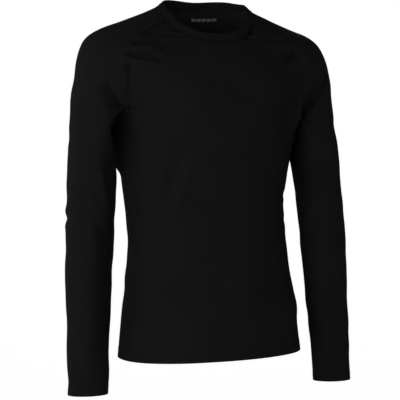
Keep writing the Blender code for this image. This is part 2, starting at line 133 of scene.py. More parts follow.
# ---- folds. Panels, the way they face, the two ends as a distance
# across and a height, sideways bow, half width across, depth inwards (a ridge is
# negative), and the share of the depth in the ridges on either side. The distance
# across is x on the front and back, and y on the sides.
FOLDS = {
    ("front_body", "front"): (
        # pulls from the right raglan seam across the chest
        (-0.138, -0.0525, -0.066, -0.059, 0.002, 0.0044, 0.008, 0.5),
        (-0.142, -0.0645, -0.064, -0.065, 0.001, 0.005, -0.0026, 0),
        (-0.17, -0.0745, -0.122, -0.0738, 0.001, 0.005, 0.0125, 0.5),
        (-0.168, -0.085, -0.115, -0.086, 0.001, 0.006, -0.002, 0),
        (-0.114, -0.036, -0.086, -0.04, 0.001, 0.0036, 0.0032, 0.3),
        (-0.122, -0.043, -0.084, -0.048, 0.001, 0.0036, 0.0034, 0.3),
        # weaker ones from the left raglan seam
        (0.062, -0.058, 0.103, -0.0585, 0.001, 0.0045, 0.0052, 0.5),
        (0.06, -0.05, 0.094, -0.035, 0, 0.0085, 0.0075, 0.2),
        (0.161, -0.089, 0.128, -0.103, 0.001, 0.0075, 0.0055, 0.3),
        (0.15, -0.118, 0.096, -0.135, 0.003, 0.011, 0.003, 0.2),
        # a soft ridge under the left armpit
        (0.176, -0.185, 0.168, -0.29, 0, 0.022, -0.0105, 0),
        # the long soft pull on the belly, and weaker ones round it
        (-0.086, -0.28, -0.124, -0.415, 0.004, 0.013, 0.005, 0.3),
        (-0.066, -0.285, -0.098, -0.42, 0.004, 0.014, -0.0028, 0),
        (-0.12, -0.3, -0.142, -0.5, 0.004, 0.016, -0.003, 0),
        (0.138, -0.525, 0.06, -0.612, 0.01, 0.032, 0.009, 0.3),
        (0.03, -0.615, -0.06, -0.665, 0.005, 0.03, 0.004, 0.2),
        (0.12, -0.37, 0.142, -0.47, 0.003, 0.014, 0.003, 0.2),
    ),
    ("front_body+right_sleeve", "front"): (
        # across and along the right raglan seam
        (-0.19, -0.0945, -0.13, -0.103, 0.002, 0.006, 0.0115, 0.5),
        (-0.189, -0.117, -0.186, -0.132, 0, 0.008, 0.0075, 0.2),
        (-0.188, -0.14, -0.186, -0.18, 0, 0.004, 0.0016, 0.2),
        # the right armpit
        (-0.2, -0.196, -0.17, -0.208, 0, 0.0055, 0.007, 0.4),
    ),
    ("front_body+left_sleeve", "front"): (
        # across the left raglan seam
        (0.106, -0.062, 0.15, -0.056, -0.001, 0.009, 0.0075, 0.3),
        (0.15, -0.097, 0.182, -0.08, -0.002, 0.01, 0.01, 0.3),
    ),
    ("left_sleeve", "front"): (
        # the shoulder
        (0.172, -0.051, 0.196, -0.06, 0, 0.009, -0.003, 0),
        # thin creases over the elbow, and the forearm
        (0.2125, -0.36, 0.1985, -0.43, 0.001, 0.0045, 0.0072, 0.5),
        (0.2215, -0.335, 0.2145, -0.385, 0, 0.0045, 0.0042, 0.5),
        (0.227, -0.33, 0.218, -0.372, 0, 0.005, -0.0026, 0),
        (0.216, -0.5, 0.206, -0.53, 0, 0.008, 0.0032, 0.2),
        (0.246, -0.56, 0.232, -0.6, 0.002, 0.011, 0.002, 0.2),
        (0.25, -0.655, 0.264, -0.705, 0.002, 0.01, 0.0018, 0.2),
    ),
    ("right_sleeve", "front"): (
        # the turn at the inner elbow, and the forearm
        (-0.243, -0.3, -0.224, -0.412, -0.002, 0.009, -0.0045, 0),
        (-0.228, -0.312, -0.214, -0.405, -0.002, 0.009, 0.0045, 0),
        (-0.256, -0.395, -0.232, -0.455, 0.002, 0.009, 0.0032, 0.3),
        (-0.262, -0.34, -0.24, -0.375, 0.002, 0.007, 0.0018, 0.3),
        (-0.266, -0.52, -0.248, -0.56, 0.002, 0.01, 0.002, 0.2),
        (-0.25, -0.64, -0.262, -0.7, 0.002, 0.01, 0.0018, 0.2),
    ),
    # short ripples where the side seams pull
    ("front_body+back_body", "left"): (
        (-0.045, -0.368, 0.01, -0.362, 0.002, 0.006, 0.0022, 0.4),
        (-0.038, -0.392, 0.024, -0.396, 0.002, 0.006, 0.0026, 0.4),
        (-0.05, -0.42, 0.015, -0.428, 0.002, 0.0065, 0.0024, 0.4),
    ),
    ("front_body+back_body", "right"): (
        (-0.04, -0.378, 0.02, -0.384, 0.002, 0.006, 0.0024, 0.4),
        (-0.046, -0.405, 0.012, -0.4, 0.002, 0.006, 0.0026, 0.4),
        (-0.034, -0.436, 0.026, -0.444, 0.002, 0.0065, 0.0022, 0.4),
    ),
    # the back: pulls from the armpits, the hollow of the back, and soft ones at the waist
    ("back_body+right_sleeve", "back"): (
        (-0.196, -0.175, -0.12, -0.215, 0.004, 0.008, 0.0062, 0.4),
    ),
    ("back_body", "back"): (
        (-0.176, -0.215, -0.112, -0.262, 0.004, 0.009, 0.0046, 0.3),
        (0.172, -0.222, 0.118, -0.285, 0.003, 0.009, 0.0042, 0.3),
        (-0.12, -0.07, -0.066, -0.092, 0.002, 0.006, 0.0034, 0.4),
        (0.13, -0.078, 0.074, -0.098, 0.002, 0.0065, 0.003, 0.4),
        (0, -0.21, 0.004, -0.4, 0.002, 0.018, 0.0038, 0.2),
        (-0.118, -0.392, 0.06, -0.408, 0.01, 0.012, 0.005, 0.4),
        (-0.06, -0.425, 0.122, -0.44, 0.009, 0.0125, 0.0046, 0.4),
        (-0.128, -0.455, 0.01, -0.472, 0.008, 0.013, 0.0036, 0.3),
        (0.04, -0.35, 0.13, -0.372, 0.006, 0.011, 0.0034, 0.3),
        (0.105, -0.5, 0.125, -0.63, 0.006, 0.02, 0.0036, 0.2),
        (-0.11, -0.52, -0.132, -0.64, 0.006, 0.02, 0.0034, 0.2),
    ),
    ("back_body+left_sleeve", "back"): (
        (0.196, -0.17, 0.126, -0.222, 0.004, 0.008, 0.0058, 0.4),
    ),
    # the sleeves behind: elbows and armpits
    ("right_sleeve", "back"): (
        (-0.272, -0.395, -0.226, -0.412, 0.003, 0.008, 0.0044, 0.4),
        (-0.28, -0.428, -0.232, -0.44, 0.003, 0.008, 0.0036, 0.4),
        (-0.268, -0.18, -0.216, -0.225, 0.004, 0.009, 0.005, 0.3),
        (-0.236, -0.54, -0.272, -0.59, 0.003, 0.01, 0.0028, 0.3),
    ),
    ("left_sleeve", "back"): (
        (0.276, -0.388, 0.228, -0.402, 0.003, 0.008, 0.004, 0.4),
        (0.282, -0.42, 0.236, -0.44, 0.003, 0.0085, 0.004, 0.4),
        (0.266, -0.176, 0.214, -0.218, 0.004, 0.009, 0.0048, 0.3),
        (0.24, -0.548, 0.274, -0.6, 0.003, 0.01, 0.0026, 0.3),
    ),
    # outer sides of the sleeves
    ("right_sleeve", "right"): (
        (-0.03, -0.405, 0.02, -0.422, 0.003, 0.008, 0.003, 0.4),
        (-0.02, -0.24, 0.026, -0.262, 0.003, 0.01, 0.0022, 0.3),
    ),
    ("left_sleeve", "left"): (
        (-0.024, -0.398, 0.024, -0.41, 0.003, 0.008, 0.003, 0.4),
        (-0.028, -0.225, 0.022, -0.25, 0.003, 0.01, 0.0022, 0.3),
    ),
}
# Hollows with steep sides where the cloth stands clear of an armpit or is pressed flat:
# panels, facing, two ends across and up, half width, depth at either end, how flat the floor
# is, and the azimuth of the push (None: against the mean of the normals).
HOLLOWS = (
    ("right_sleeve", "front", -0.229, -0.16, -0.209, -0.196, 0.0075, 0.014, 0.034, 2, 42),
    ("right_sleeve", "left", -0.034, -0.208, -0.036, -0.25, 0.022, 0.03, 0.026, 2, 20),
    ("front_body+right_sleeve", "front", -0.19, -0.22, -0.183, -0.238, 0.014, 0.016, 0.016, 4, None),
    ("right_sleeve", "front", -0.19, -0.242, -0.188, -0.305, 0.026, 0.02, 0.01, 4, None),
    ("right_sleeve", "left", 0.012, -0.245, 0.016, -0.305, 0.03, 0.012, 0.007, 4, None),
    ("front_body+back_body", "right", 0.028, -0.236, 0.03, -0.295, 0.028, -0.015, -0.011, 4, None),
    ("right_sleeve", "left", -0.04, -0.305, -0.02, -0.41, 0.028, 0.032, 0.022, 2, 18),
    ("right_sleeve", "left", -0.038, -0.45, -0.038, -0.66, 0.033, 0.038, 0.034, 2, 18),
    ("left_sleeve", "front", 0.235, -0.131, 0.201, -0.181, 0.009, 0.02, 0.022, 2, 32),
    ("front_body+left_sleeve", "front", 0.194, -0.19, 0.182, -0.226, 0.012, 0.02, 0.018, 4, 18),
    ("left_sleeve", "front", 0.1845, -0.21, 0.188, -0.29, 0.0185, 0.036, 0.032, 4, 14),
    ("left_sleeve", "front", 0.192, -0.31, 0.201, -0.41, 0.013, 0.019, 0.01, 4, 16),
    ("front_body+back_body", "left", -0.048, -0.33, -0.052, -0.61, 0.05, 0.014, 0.036, 2, 25),
    ("front_body", "front", 0.15, -0.105, 0.158, -0.19, 0.045, 0.013, 0.015, 2, 24),
)
HOLLOW_EASE = 0.010  # a hollow fades out over this distance from the edge of its panels
HOLLOW_LEAST = 1e-5  # a depth that is too small to matter
HOLLOW_SOFTENING = 4  # rounds of averaging with the points beside each
FACING = {"front": (0.0, -1.0), "back": (0.0, 1.0), "left": (1.0, 0.0), "right": (-1.0, 0.0)}
FACING_FADE = 2.0  # how fast a fold fades where the cloth turns away
FOLD_REACH = 0.04  # and how far from its line, as a layer behind is
FOLD_END = 0.08  # a fold's depth starts and ends this share of half a turn up its arch
RIDGE_AT = 1.9  # side ridges stand this many half widths off
# Slow unevenness of worn cloth: wave vector in turns per metre, phase, height.
RIPPLES = (
    ((5.1, 2.3, 7.9), 0.4, 0.00050),
    ((-7.3, 3.9, 6.1), 2.1, 0.00045),
    ((3.7, -8.1, 12.7), 4.0, 0.00035),
    ((-4.3, 6.7, -17.9), 5.2, 0.00022),
    ((11.3, 4.1, 19.3), 1.3, 0.00016),
    ((-14.9, -6.7, 23.9), 3.1, 0.00012),
)

# ---- how finely the cloth is cut: a number of even steps
ACROSS = {"main": 52, "side": 14, "sleeve": 72}
EDGE_ROWS = (0, 0.002, 0.005, 0.008, 0.011, 0.014, 0.016, 0.0175, 0.019, 0.0205, 0.022, 0.024, 0.027)
ROW_STEP = 0.004
UP_TORSO = (21, 21, 20, 15, 9)
UP_SLEEVE = (25, 25, 20, 18, 14)
UP_YOKE = (20, 20, 18, 14)
ARMPIT_ROWS = 14
UP_BAND = 8

# Stretches round the sections on the wearer's left: each has a name, two angles from the
# front in degrees, and a number of steps.
TORSO_ROUND = (
    ("front", 0, 67, ACROSS["main"]),
    ("front_side", 67, 90, ACROSS["side"]),
    ("back_side", 90, 113, ACROSS["side"]),
    ("back", 113, 180, ACROSS["main"]),
)
SLEEVE_ROUND = (
    ("sleeve", -35, 215, ACROSS["sleeve"]),
    ("inner_back", -145, -90, ACROSS["side"]),
    ("inner_front", -90, -35, ACROSS["side"]),
)
PANELS = ("front_body", "back_body", "right_sleeve", "left_sleeve", "neckband")
PATCH_PANELS = {
    "front": "front_body",
    "front_side": "front_body",
    "back_side": "back_body",
    "back": "back_body",
    "arm": "left_sleeve",
    "inner_back": "left_sleeve",
    "inner_front": "left_sleeve",
    "band": "neckband",
}
SEAM_GAP = 0.0002
MITRE_MOST = 1.6
WELD_DECIMALS = 7
SAME_POINT = 1e-7
TINY = 1e-12
SHARP_DEG = 70
HEM_RAISE = 0.0005  # how far a turned hem stands out
HEM_INNER = 0.0006  # and in
HEM_STEP = (0.0005, 0.0015)  # where a hem's step starts below its height and ends above
HEM_GROOVE = 0.0003
GROOVE_HALF_WIDTH = 0.0012
NEEDLES_APART = 0.005  # the lower row of stitches below the hem's height
NEEDLES_BELOW = 0.001  # and the upper row
BAND_BULGE = 0.0006
BAND_UNEVENNESS = 0.2
# The tab, from the side seam and the hem's edge, and the plain dash on it, from its corner:
# sizes, numbers of steps across and up, and how far the two sides stand off the cloth.
LABEL = SimpleNamespace(
    width=0.016,
    height=0.008,
    from_seam=0.003,
    above_hem=0.010,
    steps=(16, 8),
    lifts=(0.0004, 0.0012),
)
LABEL_DASH = SimpleNamespace(
    width=0.005,
    height=0.0018,
    from_side=0.004,
    above_foot=0.0032,
    steps=(3, 2),
    lifts=(0.00125, 0.0014),
)
# Plain dashes inside the back of the neck: how many, where the first starts beside the
# middle and below the neck seam, and how far on and lower each further one is.
NECK_DASHES = SimpleNamespace(
    count=5,
    start=0.004,
    step=0.0112,
    width=0.0088,
    height=0.0065,
    below=0.0145,
    drop=0.0008,
    steps=(5, 3),
    lifts=(0.00005, 0.00022),
)


# ---- curves
def cubic(knots, values, at):
    """The curve with continuous curvature through values at the knots, read at each number in at."""
    gap = np.diff(knots)
    count = len(knots)
    system = np.eye(count)
    right = np.zeros((count, values[0].size))
    flat = values.reshape(count, -1)
    for i in range(1, count - 1):
        system[i, i - 1 : i + 2] = gap[i - 1], 2 * (gap[i - 1] + gap[i]), gap[i]
        right[i] = 6 * ((flat[i + 1] - flat[i]) / gap[i] - (flat[i] - flat[i - 1]) / gap[i - 1])
    bend = np.linalg.solve(system, right)
    k = np.clip(np.searchsorted(knots, at, side="right") - 1, 0, count - 2)
    a = ((knots[k + 1] - at) / gap[k])[:, None]
    b = 1 - a
    curl = (a**3 - a) * bend[k] + (b**3 - b) * bend[k + 1]
    out = a * flat[k] + b * flat[k + 1] + curl * (gap[k] ** 2)[:, None] / 6
    return out.reshape((len(at),) + values[0].shape)


def lengths(points):
    """The distance along a line of points at each of them."""
    steps = np.linalg.norm(np.diff(points, axis=0), axis=-1)
    return np.concatenate([[0.0], np.cumsum(steps)])


def unit(vectors):
    return vectors / np.maximum(np.linalg.norm(vectors, axis=-1), TINY)[..., None]


def read(values, along, at):
    """Vectors that lie at the distances along a line, read at other distances."""
    return np.stack([np.interp(at, along, values[:, k]) for k in range(3)], axis=-1)


def evenly(line, count):
    """count + 1 points evenly along a dense line."""
    along = lengths(line)
    return read(line, along, np.linspace(0, along[-1], count + 1))


def hermite(start, end, leave, arrive, t):
    """The cubic from start to end with the given directions there, at each share t."""
    return (
        (2 * t**3 - 3 * t**2 + 1) * start
        + (t**3 - 2 * t**2 + t) * leave
        + (3 * t**2 - 2 * t**3) * end
        + (t**3 - t**2) * arrive
    )


def smooth_step(value, low, high):
    t = np.clip((value - low) / (high - low), 0, 1)
    return t * t * (3 - 2 * t)


# ---- sections, each a dict of stretches on the wearer's left
def level_ring(height, middle, half_sizes, power, stretches):
    """A level section's stretches: each has a name, two angles from the front, and a number of steps."""
    ring = {}
    for name, start, end, count in stretches:
        turn = np.radians(np.linspace(start, end, DENSE))
        waves = np.stack([np.sin(turn), -np.cos(turn)], axis=1)
        line = middle + half_sizes * np.sign(waves) * np.abs(waves) ** power
        ring[name] = evenly(np.insert(line, 2, height, axis=1), count)
    return ring


def yoke_ring(step):
    """A closed smooth ring through the named paths at one step, cut into its three stretches."""
    left = np.array([path[step] for path in YOKE.values()])
    right = left[-2:0:-1] * (-1, 1, 1)
    ring = np.concatenate([left, right, left, right, left])
    knots = lengths(ring)
    own = dict(zip(YOKE, knots[len(left) + len(right) :]))

    def stretch(first, last, count):
        return evenly(cubic(knots, ring, np.linspace(own[first], own[last], DENSE)), count)

    return {
        "front": stretch("front_middle", "front_seam", ACROSS["main"]),
        "sleeve": stretch("front_seam", "back_seam", ACROSS["sleeve"]),
        "back": stretch("back_seam", "back_middle", ACROSS["main"]),
    }


def underarm_line(front_foot, back_foot, count):
    """The underarm seam from its front foot, under the arm, to its back foot."""
    low = np.array(UNDERARM)
    reach = lengths(np.array([front_foot, low, back_foot]))
    turn = np.linspace(0, 1, DENSE)[:, None]
    level = np.array((0.0, reach[2] / 2, 0.0))
    first = hermite(front_foot, low, low - front_foot, level, turn)
    second = hermite(low, back_foot, level, back_foot - low, turn)
    return np.concatenate([evenly(first, count), evenly(second, count)[1:]])


def shares_of(step):
    """A step's rows as shares of it, from a number of even rows or from the shares themselves."""
    return np.arange(step) / step if isinstance(step, int) else np.array(step)


def edge_shares(first_height, second_height):
    """Rows of the lowest step: close together over the turned hem, then even."""
    reach = second_height - first_height
    rest = np.arange(EDGE_ROWS[-1] + ROW_STEP, reach - ROW_STEP / 2, ROW_STEP)
    return tuple(np.concatenate([EDGE_ROWS, rest]) / reach)


def rows_through(rings, ups):
    """Rows of points through a stack of rings, with the given rows in each step."""
    rings = np.array(rings)
    index = np.concatenate([i + shares_of(step) for i, step in enumerate(ups)] + [[len(ups)]])
    out = np.empty((len(index), rings.shape[1], 3))
    for j in range(rings.shape[1]):
        knots = lengths(rings[:, j])
        at = np.interp(index, np.arange(len(rings)), knots)
        out[:, j] = cubic(knots, rings[:, j], at)
    return out


def rise_to(rings, ups, line, arch, shares):
    """Rows through the rings and on to the underarm line, rounding over in the arch's direction."""
    knots = np.arange(len(rings), dtype=float)
    stack = np.array(rings)
    slope = (stack[-1] - cubic(knots, stack, np.array([knots[-1] - LOOK_BACK]))[0]) / LOOK_BACK
    climb = line - stack[-1]
    weight = 1 - np.linspace(-1, 1, len(line))[:, None] ** 2
    arrive = climb * (1 - weight) + np.array((arch, 0, 0)) * weight
    slope *= np.linalg.norm(climb, axis=1)[:, None] / np.linalg.norm(slope, axis=1)[:, None]
    added = [hermite(stack[-1], line, slope, arrive, share) for share in shares]
    return np.concatenate([rows_through(rings, ups), added])


def pull(grid, column, target, reach):
    """Moves one edge column of a grid onto target, and its neighbours less and less."""
    shift = target - grid[:, column]
    step = 1 if column == 0 else -1
    for k in range(math.ceil(reach)):
        grid[:, column + step * k] += shift * np.cos(np.pi / 2 * k / reach) ** 2


def half_garment():
    """The patches on the wearer's left, each a grid of rows up and columns round."""
    torso = [level_ring(z, (0, y), (w, d), 2 / SQUARENESS, TORSO_ROUND) for z, w, d, y in TORSO]
    sleeve = [level_ring(z, (x, y), (w, d), 1, SLEEVE_ROUND) for z, x, y, w, d in SLEEVE]
    yoke = [yoke_ring(step) for step in range(len(YOKE["shoulder"]))]
    armpit = np.sin(np.pi / 2 * np.arange(1, ARMPIT_ROWS + 1) / ARMPIT_ROWS)
    up_torso = (edge_shares(TORSO[0][0], TORSO[1][0]), *UP_TORSO)
    up_sleeve = (edge_shares(SLEEVE[0][0], SLEEVE[1][0]), *UP_SLEEVE)

    def through(lower, ups, name):
        rings = [r[name] for r in lower] + [r[name] for r in yoke[:-1]]
        return rows_through(rings, (*ups, (0, *armpit[:-1]), *UP_YOKE))

    front = through(torso, up_torso, "front")
    back = through(torso, up_torso, "back")
    arm = through(sleeve, up_sleeve, "sleeve")
    half = ACROSS["side"]
    line = underarm_line(yoke[0]["front"][-1], yoke[0]["back"][0], half)

    side_rings = [np.concatenate([r["front_side"], r["back_side"][1:]]) for r in torso]
    side = rise_to(side_rings, up_torso, line, UNDERARM_ARCH, armpit)
    inner_rings = [np.concatenate([r["inner_back"], r["inner_front"][1:]]) for r in sleeve]
    inner = rise_to(inner_rings, up_sleeve, line[::-1], -UNDERARM_ARCH, armpit)
    for main, main_column, arm_column in ((front, -1, 0), (back, 0, -1)):
        seam = (main[len(side) :, main_column] + arm[len(inner) :, arm_column]) / 2
        pull(main[len(side) :], main_column, seam, PULL_MAIN * ACROSS["main"])
        pull(arm[len(inner) :], arm_column, seam, PULL_SLEEVE * ACROSS["sleeve"])
    side[:, 0] = front[: len(side), -1]
    side[:, -1] = back[: len(side), 0]
    inner[:, 0] = arm[: len(inner), -1]
    inner[:, -1] = arm[: len(inner), 0]

    foot, rim = [np.concatenate([r["front"], r["sleeve"][1:], r["back"][1:]]) for r in yoke[-2:]]
    share = np.linspace(0, 1, UP_BAND + 1)[:, None, None]
    return {
        "front": front,
        "front_side": side[:, : half + 1],
        "back_side": side[:, half:],
        "back": back,
        "arm": arm,
        "band": foot * (1 - share) + rim * share,
        "inner_back": inner[:, : half + 1],
        "inner_front": inner[:, half:],
    }


def running(grid, axis):
    """The distances along a grid's columns (axis 0) or rows (axis 1), from where each starts."""
    steps = np.linalg.norm(np.diff(grid, axis=axis), axis=-1)
    return np.insert(np.cumsum(steps, axis=axis), 0, 0, axis=axis)


def flat_coordinates(grids):
    """Each patch's distances round, from its panel's own middle, and up from its edge."""
    across = {name: running(grid, 1) for name, grid in grids.items()}
    side, under = len(grids["front_side"]), len(grids["inner_back"])
    across["front_side"] += across["front"][:side, -1:]
    across["back"] -= across["back"][:, -1:].copy()
    across["back_side"] += across["back"][:side, :1] - across["back_side"][:, -1:]
    middle = ACROSS["sleeve"] // 2
    across["arm"] -= across["arm"][:, middle : middle + 1].copy()
    across["inner_back"] += across["arm"][:under, -1:]
    across["inner_front"] += across["arm"][:under, :1] - across["inner_front"][:, -1:]
    return {name: np.stack([across[name], running(grid, 0)], axis=-1) for name, grid in grids.items()}


def grid_quads(rows, columns):
    """The numbers of a grid's points, row by row, and the quads between them."""
    number = np.arange(rows * columns).reshape(rows, columns)
    corners = (number[:-1, :-1], number[:-1, 1:], number[1:, 1:], number[1:, :-1])
    return number, np.stack(corners, axis=-1).reshape(-1, 4)


@lru_cache(maxsize=1)
def garment():
    """The welded skin, outside outwards, with its folds, and where each patch's points are in it."""
    patches = half_garment()
    flat = flat_coordinates(patches)
    points, quads, panels, coordinates, numbers, up = [], [], [], [], {}, []
    count = 0
    for name, grid in patches.items():
        number, quad = grid_quads(*grid.shape[:2])
        for side, word in ((1, "left"), (-1, "right")):
            own = quad[:, ::side]
            points.append(grid.reshape(-1, 3) * (side, 1, 1))
            quads.append(own + count)
            panels += [PANELS.index(PATCH_PANELS[name].replace("left", word))] * len(quad)
            mapped = flat[name].reshape(-1, 2) * (side, 1)
            coordinates.append(mapped[own])
            up.append(mapped[:, 1])
            numbers[name, side] = number + count
            count += number.size
    points = np.concatenate(points)
    rounded = np.round(points, WELD_DECIMALS)
    _, first, inverse = np.unique(rounded, axis=0, return_index=True, return_inverse=True)
    inverse = inverse.reshape(-1)
    skin = SimpleNamespace(
        points=points[first],
        quads=inverse[np.concatenate(quads)],
        panels=np.array(panels),
        flat=np.concatenate(coordinates),
        grids={key: inverse[value] for key, value in numbers.items()},
        up=np.concatenate(up)[first],
    )
    shape(skin)
    skin.normals = normals_of(skin.points, skin.quads)
    return skin


def face_normals(points, quads):
    """Each quad's normal, as long as twice its area."""
    corner = points[quads]
    return np.cross(corner[:, 2] - corner[:, 0], corner[:, 3] - corner[:, 1])


def normals_of(points, quads):
    """The outward normal at each point, weighted by the faces round it."""
    total = np.zeros_like(points)
    normals = face_normals(points, quads)
    for corner in quads.T:
        np.add.at(total, corner, normals)
    return unit(total)


def faces_of(skin, names):
    """Which faces belong to the named panels."""
    return np.isin(skin.panels, [PANELS.index(name) for name in names])


def beside_line(skin, normals, panels, facing, ends, bow=0.0):
    """Points of the panels, and for each: the share along the line, distance off it, and weight.

    The line joins two ends, each a distance across and a height, and lies on the cloth
    that faces that way. The weight drops where the cloth turns away or is a layer behind.
    """
    points = skin.points
    on = np.unique(skin.quads[faces_of(skin, panels.split("+"))])
    way = FACING[facing]
    near = on[normals[on, :2] @ way > 0]
    across = 1 if way[0] else 0
    found = []
    for u, z in (ends[:2], ends[2:]):
        off = np.hypot(points[near, across] - u, points[near, 2] - z)
        end = points[near[off.argmin()]].copy()
        end[across], end[2] = u, z
        found.append(end)
    run = found[1] - found[0]
    out = normals[on]
    away = points[on] - found[0]
    share = np.clip(away @ run / (run @ run), 0, 1)
    sideways = unit(np.cross(run, (*way, 0.0)))
    away -= share[:, None] * run + sideways * (4 * bow * share * (1 - share))[:, None]
    lift = (away * out).sum(axis=1)
    apart = np.sqrt(np.maximum((away**2).sum(axis=1) - lift**2, 0))
    same_side = np.clip(0.5 + FACING_FADE * (out[:, :2] @ way), 0, 1)
    return on, share, apart, np.exp(-((lift / FOLD_REACH) ** 4)) * same_side


def fold_depths(skin, normals, panels, facing, row):
    """How far one fold moves each point inwards."""
    *ends, bow, width, depth, ridge = row
    on, share, apart, weight = beside_line(skin, normals, panels, facing, ends, bow)
    apart = apart / width
    hollow = np.exp(-(apart**2)) - ridge * np.exp(-((apart - RIDGE_AT) ** 2))
    arch = np.sin(np.pi * (FOLD_END + (1 - 2 * FOLD_END) * share))
    depths = np.zeros(len(skin.points))
    depths[on] = depth * hollow * arch * weight
    return depths


def hollow_moves(skin, normals, row):
    """The way that one steep-sided hollow moves each point: all of its points one way, inwards."""
    panels, facing, *ends, width, first, last, flatness, azimuth = row
    on, share, apart, weight = beside_line(skin, normals, panels, facing, ends)
    depths = np.zeros(len(skin.points))
    depths[on] = (first + (last - first) * share) * np.exp(-((apart / width) ** flatness)) * weight
    moved = np.flatnonzero(np.abs(depths) > HOLLOW_LEAST)
    others = np.unique(skin.quads[~faces_of(skin, panels.split("+"))])
    nearest = np.full(len(moved), np.inf)
    for point in skin.points[np.intersect1d(on, others)]:
        nearest = np.minimum(nearest, ((skin.points[moved] - point) ** 2).sum(axis=1))
    depths[moved] *= smooth_step(np.sqrt(nearest), 0, HOLLOW_EASE)
    if azimuth is None:
        return depths[:, None] * -unit(np.abs(depths) @ normals)
    return depths[:, None] * (np.sin(np.radians(azimuth)), np.cos(np.radians(azimuth)), 0.0)


def averaged_over(quads, vectors, rounds):
    """Vectors at the points, each averaged again and again with those beside it."""
    edges = edges_of(quads)
    times = np.bincount(edges.ravel(), minlength=len(vectors))[:, None]
    for _ in range(rounds):
        total = np.zeros_like(vectors)
        for near, far in (edges.T, edges.T[::-1]):
            np.add.at(total, near, vectors[far])
        vectors = (vectors + total / times) / 2
    return vectors


def needle_rows(hem):
    """How high the two rows of stitches of a turned hem lie."""
    return hem - NEEDLES_APART, hem - NEEDLES_BELOW


def shape(skin):
    """Lets the hem rise to one side, then presses folds, slow unevenness and hems into the skin."""
    sizes = bpy.context.scene.base_layer_sizes
    points = skin.points
    normals = normals_of(points, skin.quads)
    body, sleeves, band = (
        np.unique(skin.quads[faces_of(skin, names)]) for names in (PANELS[:2], PANELS[2:4], PANELS[4:])
    )
    moved = points.copy()
    low = np.clip((HEM_RISE_TOP - points[:, 2]) / (HEM_RISE_TOP - TORSO[0][0]), 0, 1)
    moved[body, 2] += HEM_RISE * points[body, 0] * low[body] ** 2
    inward = sum(fold_depths(skin, normals, *cloth, row) for cloth, rows in FOLDS.items() for row in rows)
    hollow = sum(hollow_moves(skin, normals, row) for row in HOLLOWS)
    moved += averaged_over(skin.quads, hollow, HOLLOW_SOFTENING)
    slow = sum(
        height * np.sin(2 * np.pi * points @ np.array(turns) + phase) for turns, phase, height in RIPPLES
    )
    slow *= sizes.unevenness
    slow[band] *= BAND_UNEVENNESS
    skin.turned = np.zeros(len(points))
    groove = np.zeros(len(points))
    for on, height in ((body, sizes.hem_height), (sleeves, sizes.cuff_height)):
        skin.turned[on] = 1 - smooth_step(skin.up[on], height - HEM_STEP[0], height + HEM_STEP[1])
        for row in needle_rows(height):
            groove[on] += np.exp(-(((skin.up[on] - row) / GROOVE_HALF_WIDTH) ** 2))
    outward = HEM_RAISE * skin.turned - HEM_GROOVE * groove - inward + slow
    for side in (1, -1):
        grid = skin.grids["band", side]
        outward[grid] += BAND_BULGE * np.sin(np.pi * np.linspace(0, 1, len(grid)))[:, None]
    skin.points = moved + normals * outward[:, None]


# ---- closed cloth
def edges_of(quads):
    """The two ends of each side of each quad: all first sides, then all second ones, and so on."""
    return np.concatenate([quads[:, [k, (k + 1) % 4]] for k in range(4)])


def keys(edges, count):
    """One number for each edge, by which edges can be looked up."""
    return edges[:, 0] * count + edges[:, 1]


def edge_directions(points, quads):
    """For each edge of the quads, the direction in the cloth that leads inwards from it."""
    edges = edges_of(quads)
    faces = np.tile(face_normals(points, quads), (4, 1))
    return edges, unit(np.cross(faces, points[edges[:, 1]] - points[edges[:, 0]]))


def averaged(edges, directions, count):
    """Mean direction at each point that the edges use, and its length's inverse, at most a mitre."""
    total = np.zeros((count, 3))
    times = np.zeros(count)
    for k in range(2):
        np.add.at(total, edges[:, k], directions)
        np.add.at(times, edges[:, k], 1)
    mean = total / np.maximum(times, 1)[:, None]
    size = np.linalg.norm(mean, axis=1)
    return unit(mean) * np.minimum(1 / np.maximum(size, TINY), MITRE_MOST)[:, None]


def cloth_piece(name, thickness):
    """The closed wall of one panel: outer skin, inner skin and a rim, round where the edge is open."""
    skin = garment()
    count = len(skin.points)
    mine = skin.panels == PANELS.index(name)
    own = skin.quads[mine]
    edges, inwards = edge_directions(skin.points, own)
    outline = ~np.isin(keys(edges, count), keys(edges[:, ::-1], count))
    others = edges_of(skin.quads[~mine])
    sewn = outline & np.isin(keys(edges, count), keys(others[:, ::-1], count))
    loose = outline & ~sewn
    inset = averaged(edges[sewn], inwards[sewn], count) * SEAM_GAP / 2
    swell = -averaged(edges[loose], inwards[loose], count) / 2

    used, quads = np.unique(own, return_inverse=True)
    quads = quads.reshape(own.shape)
    depth = thickness + HEM_INNER * skin.turned[used][:, None]
    outer = skin.points[used] + inset[used]
    step = skin.normals[used] * depth
    middle, inner = len(used), 2 * len(used)
    a, b = edges_of(quads)[outline].T
    faces = [
        quads,
        quads[:, ::-1] + inner,
        np.stack([b, a, a + middle, b + middle], axis=1),
        np.stack([b + middle, a + middle, a + inner, b + inner], axis=1),
    ]
    flat = skin.flat[mine]
    rim_flat = edges_of(flat)[outline][:, [1, 0, 0, 1]]
    maps = [flat, flat[:, ::-1], rim_flat, rim_flat]
    vertices = np.concatenate([outer, outer - step / 2 + swell[used] * depth, outer - step])
    mesh = make_mesh(vertices, np.concatenate(faces), np.concatenate(maps))
    reverse = np.repeat([0, 1, 0, 1], [len(part) for part in faces])
    mesh.polygons.foreach_set("material_index", reverse.astype(np.int32))
    return mesh


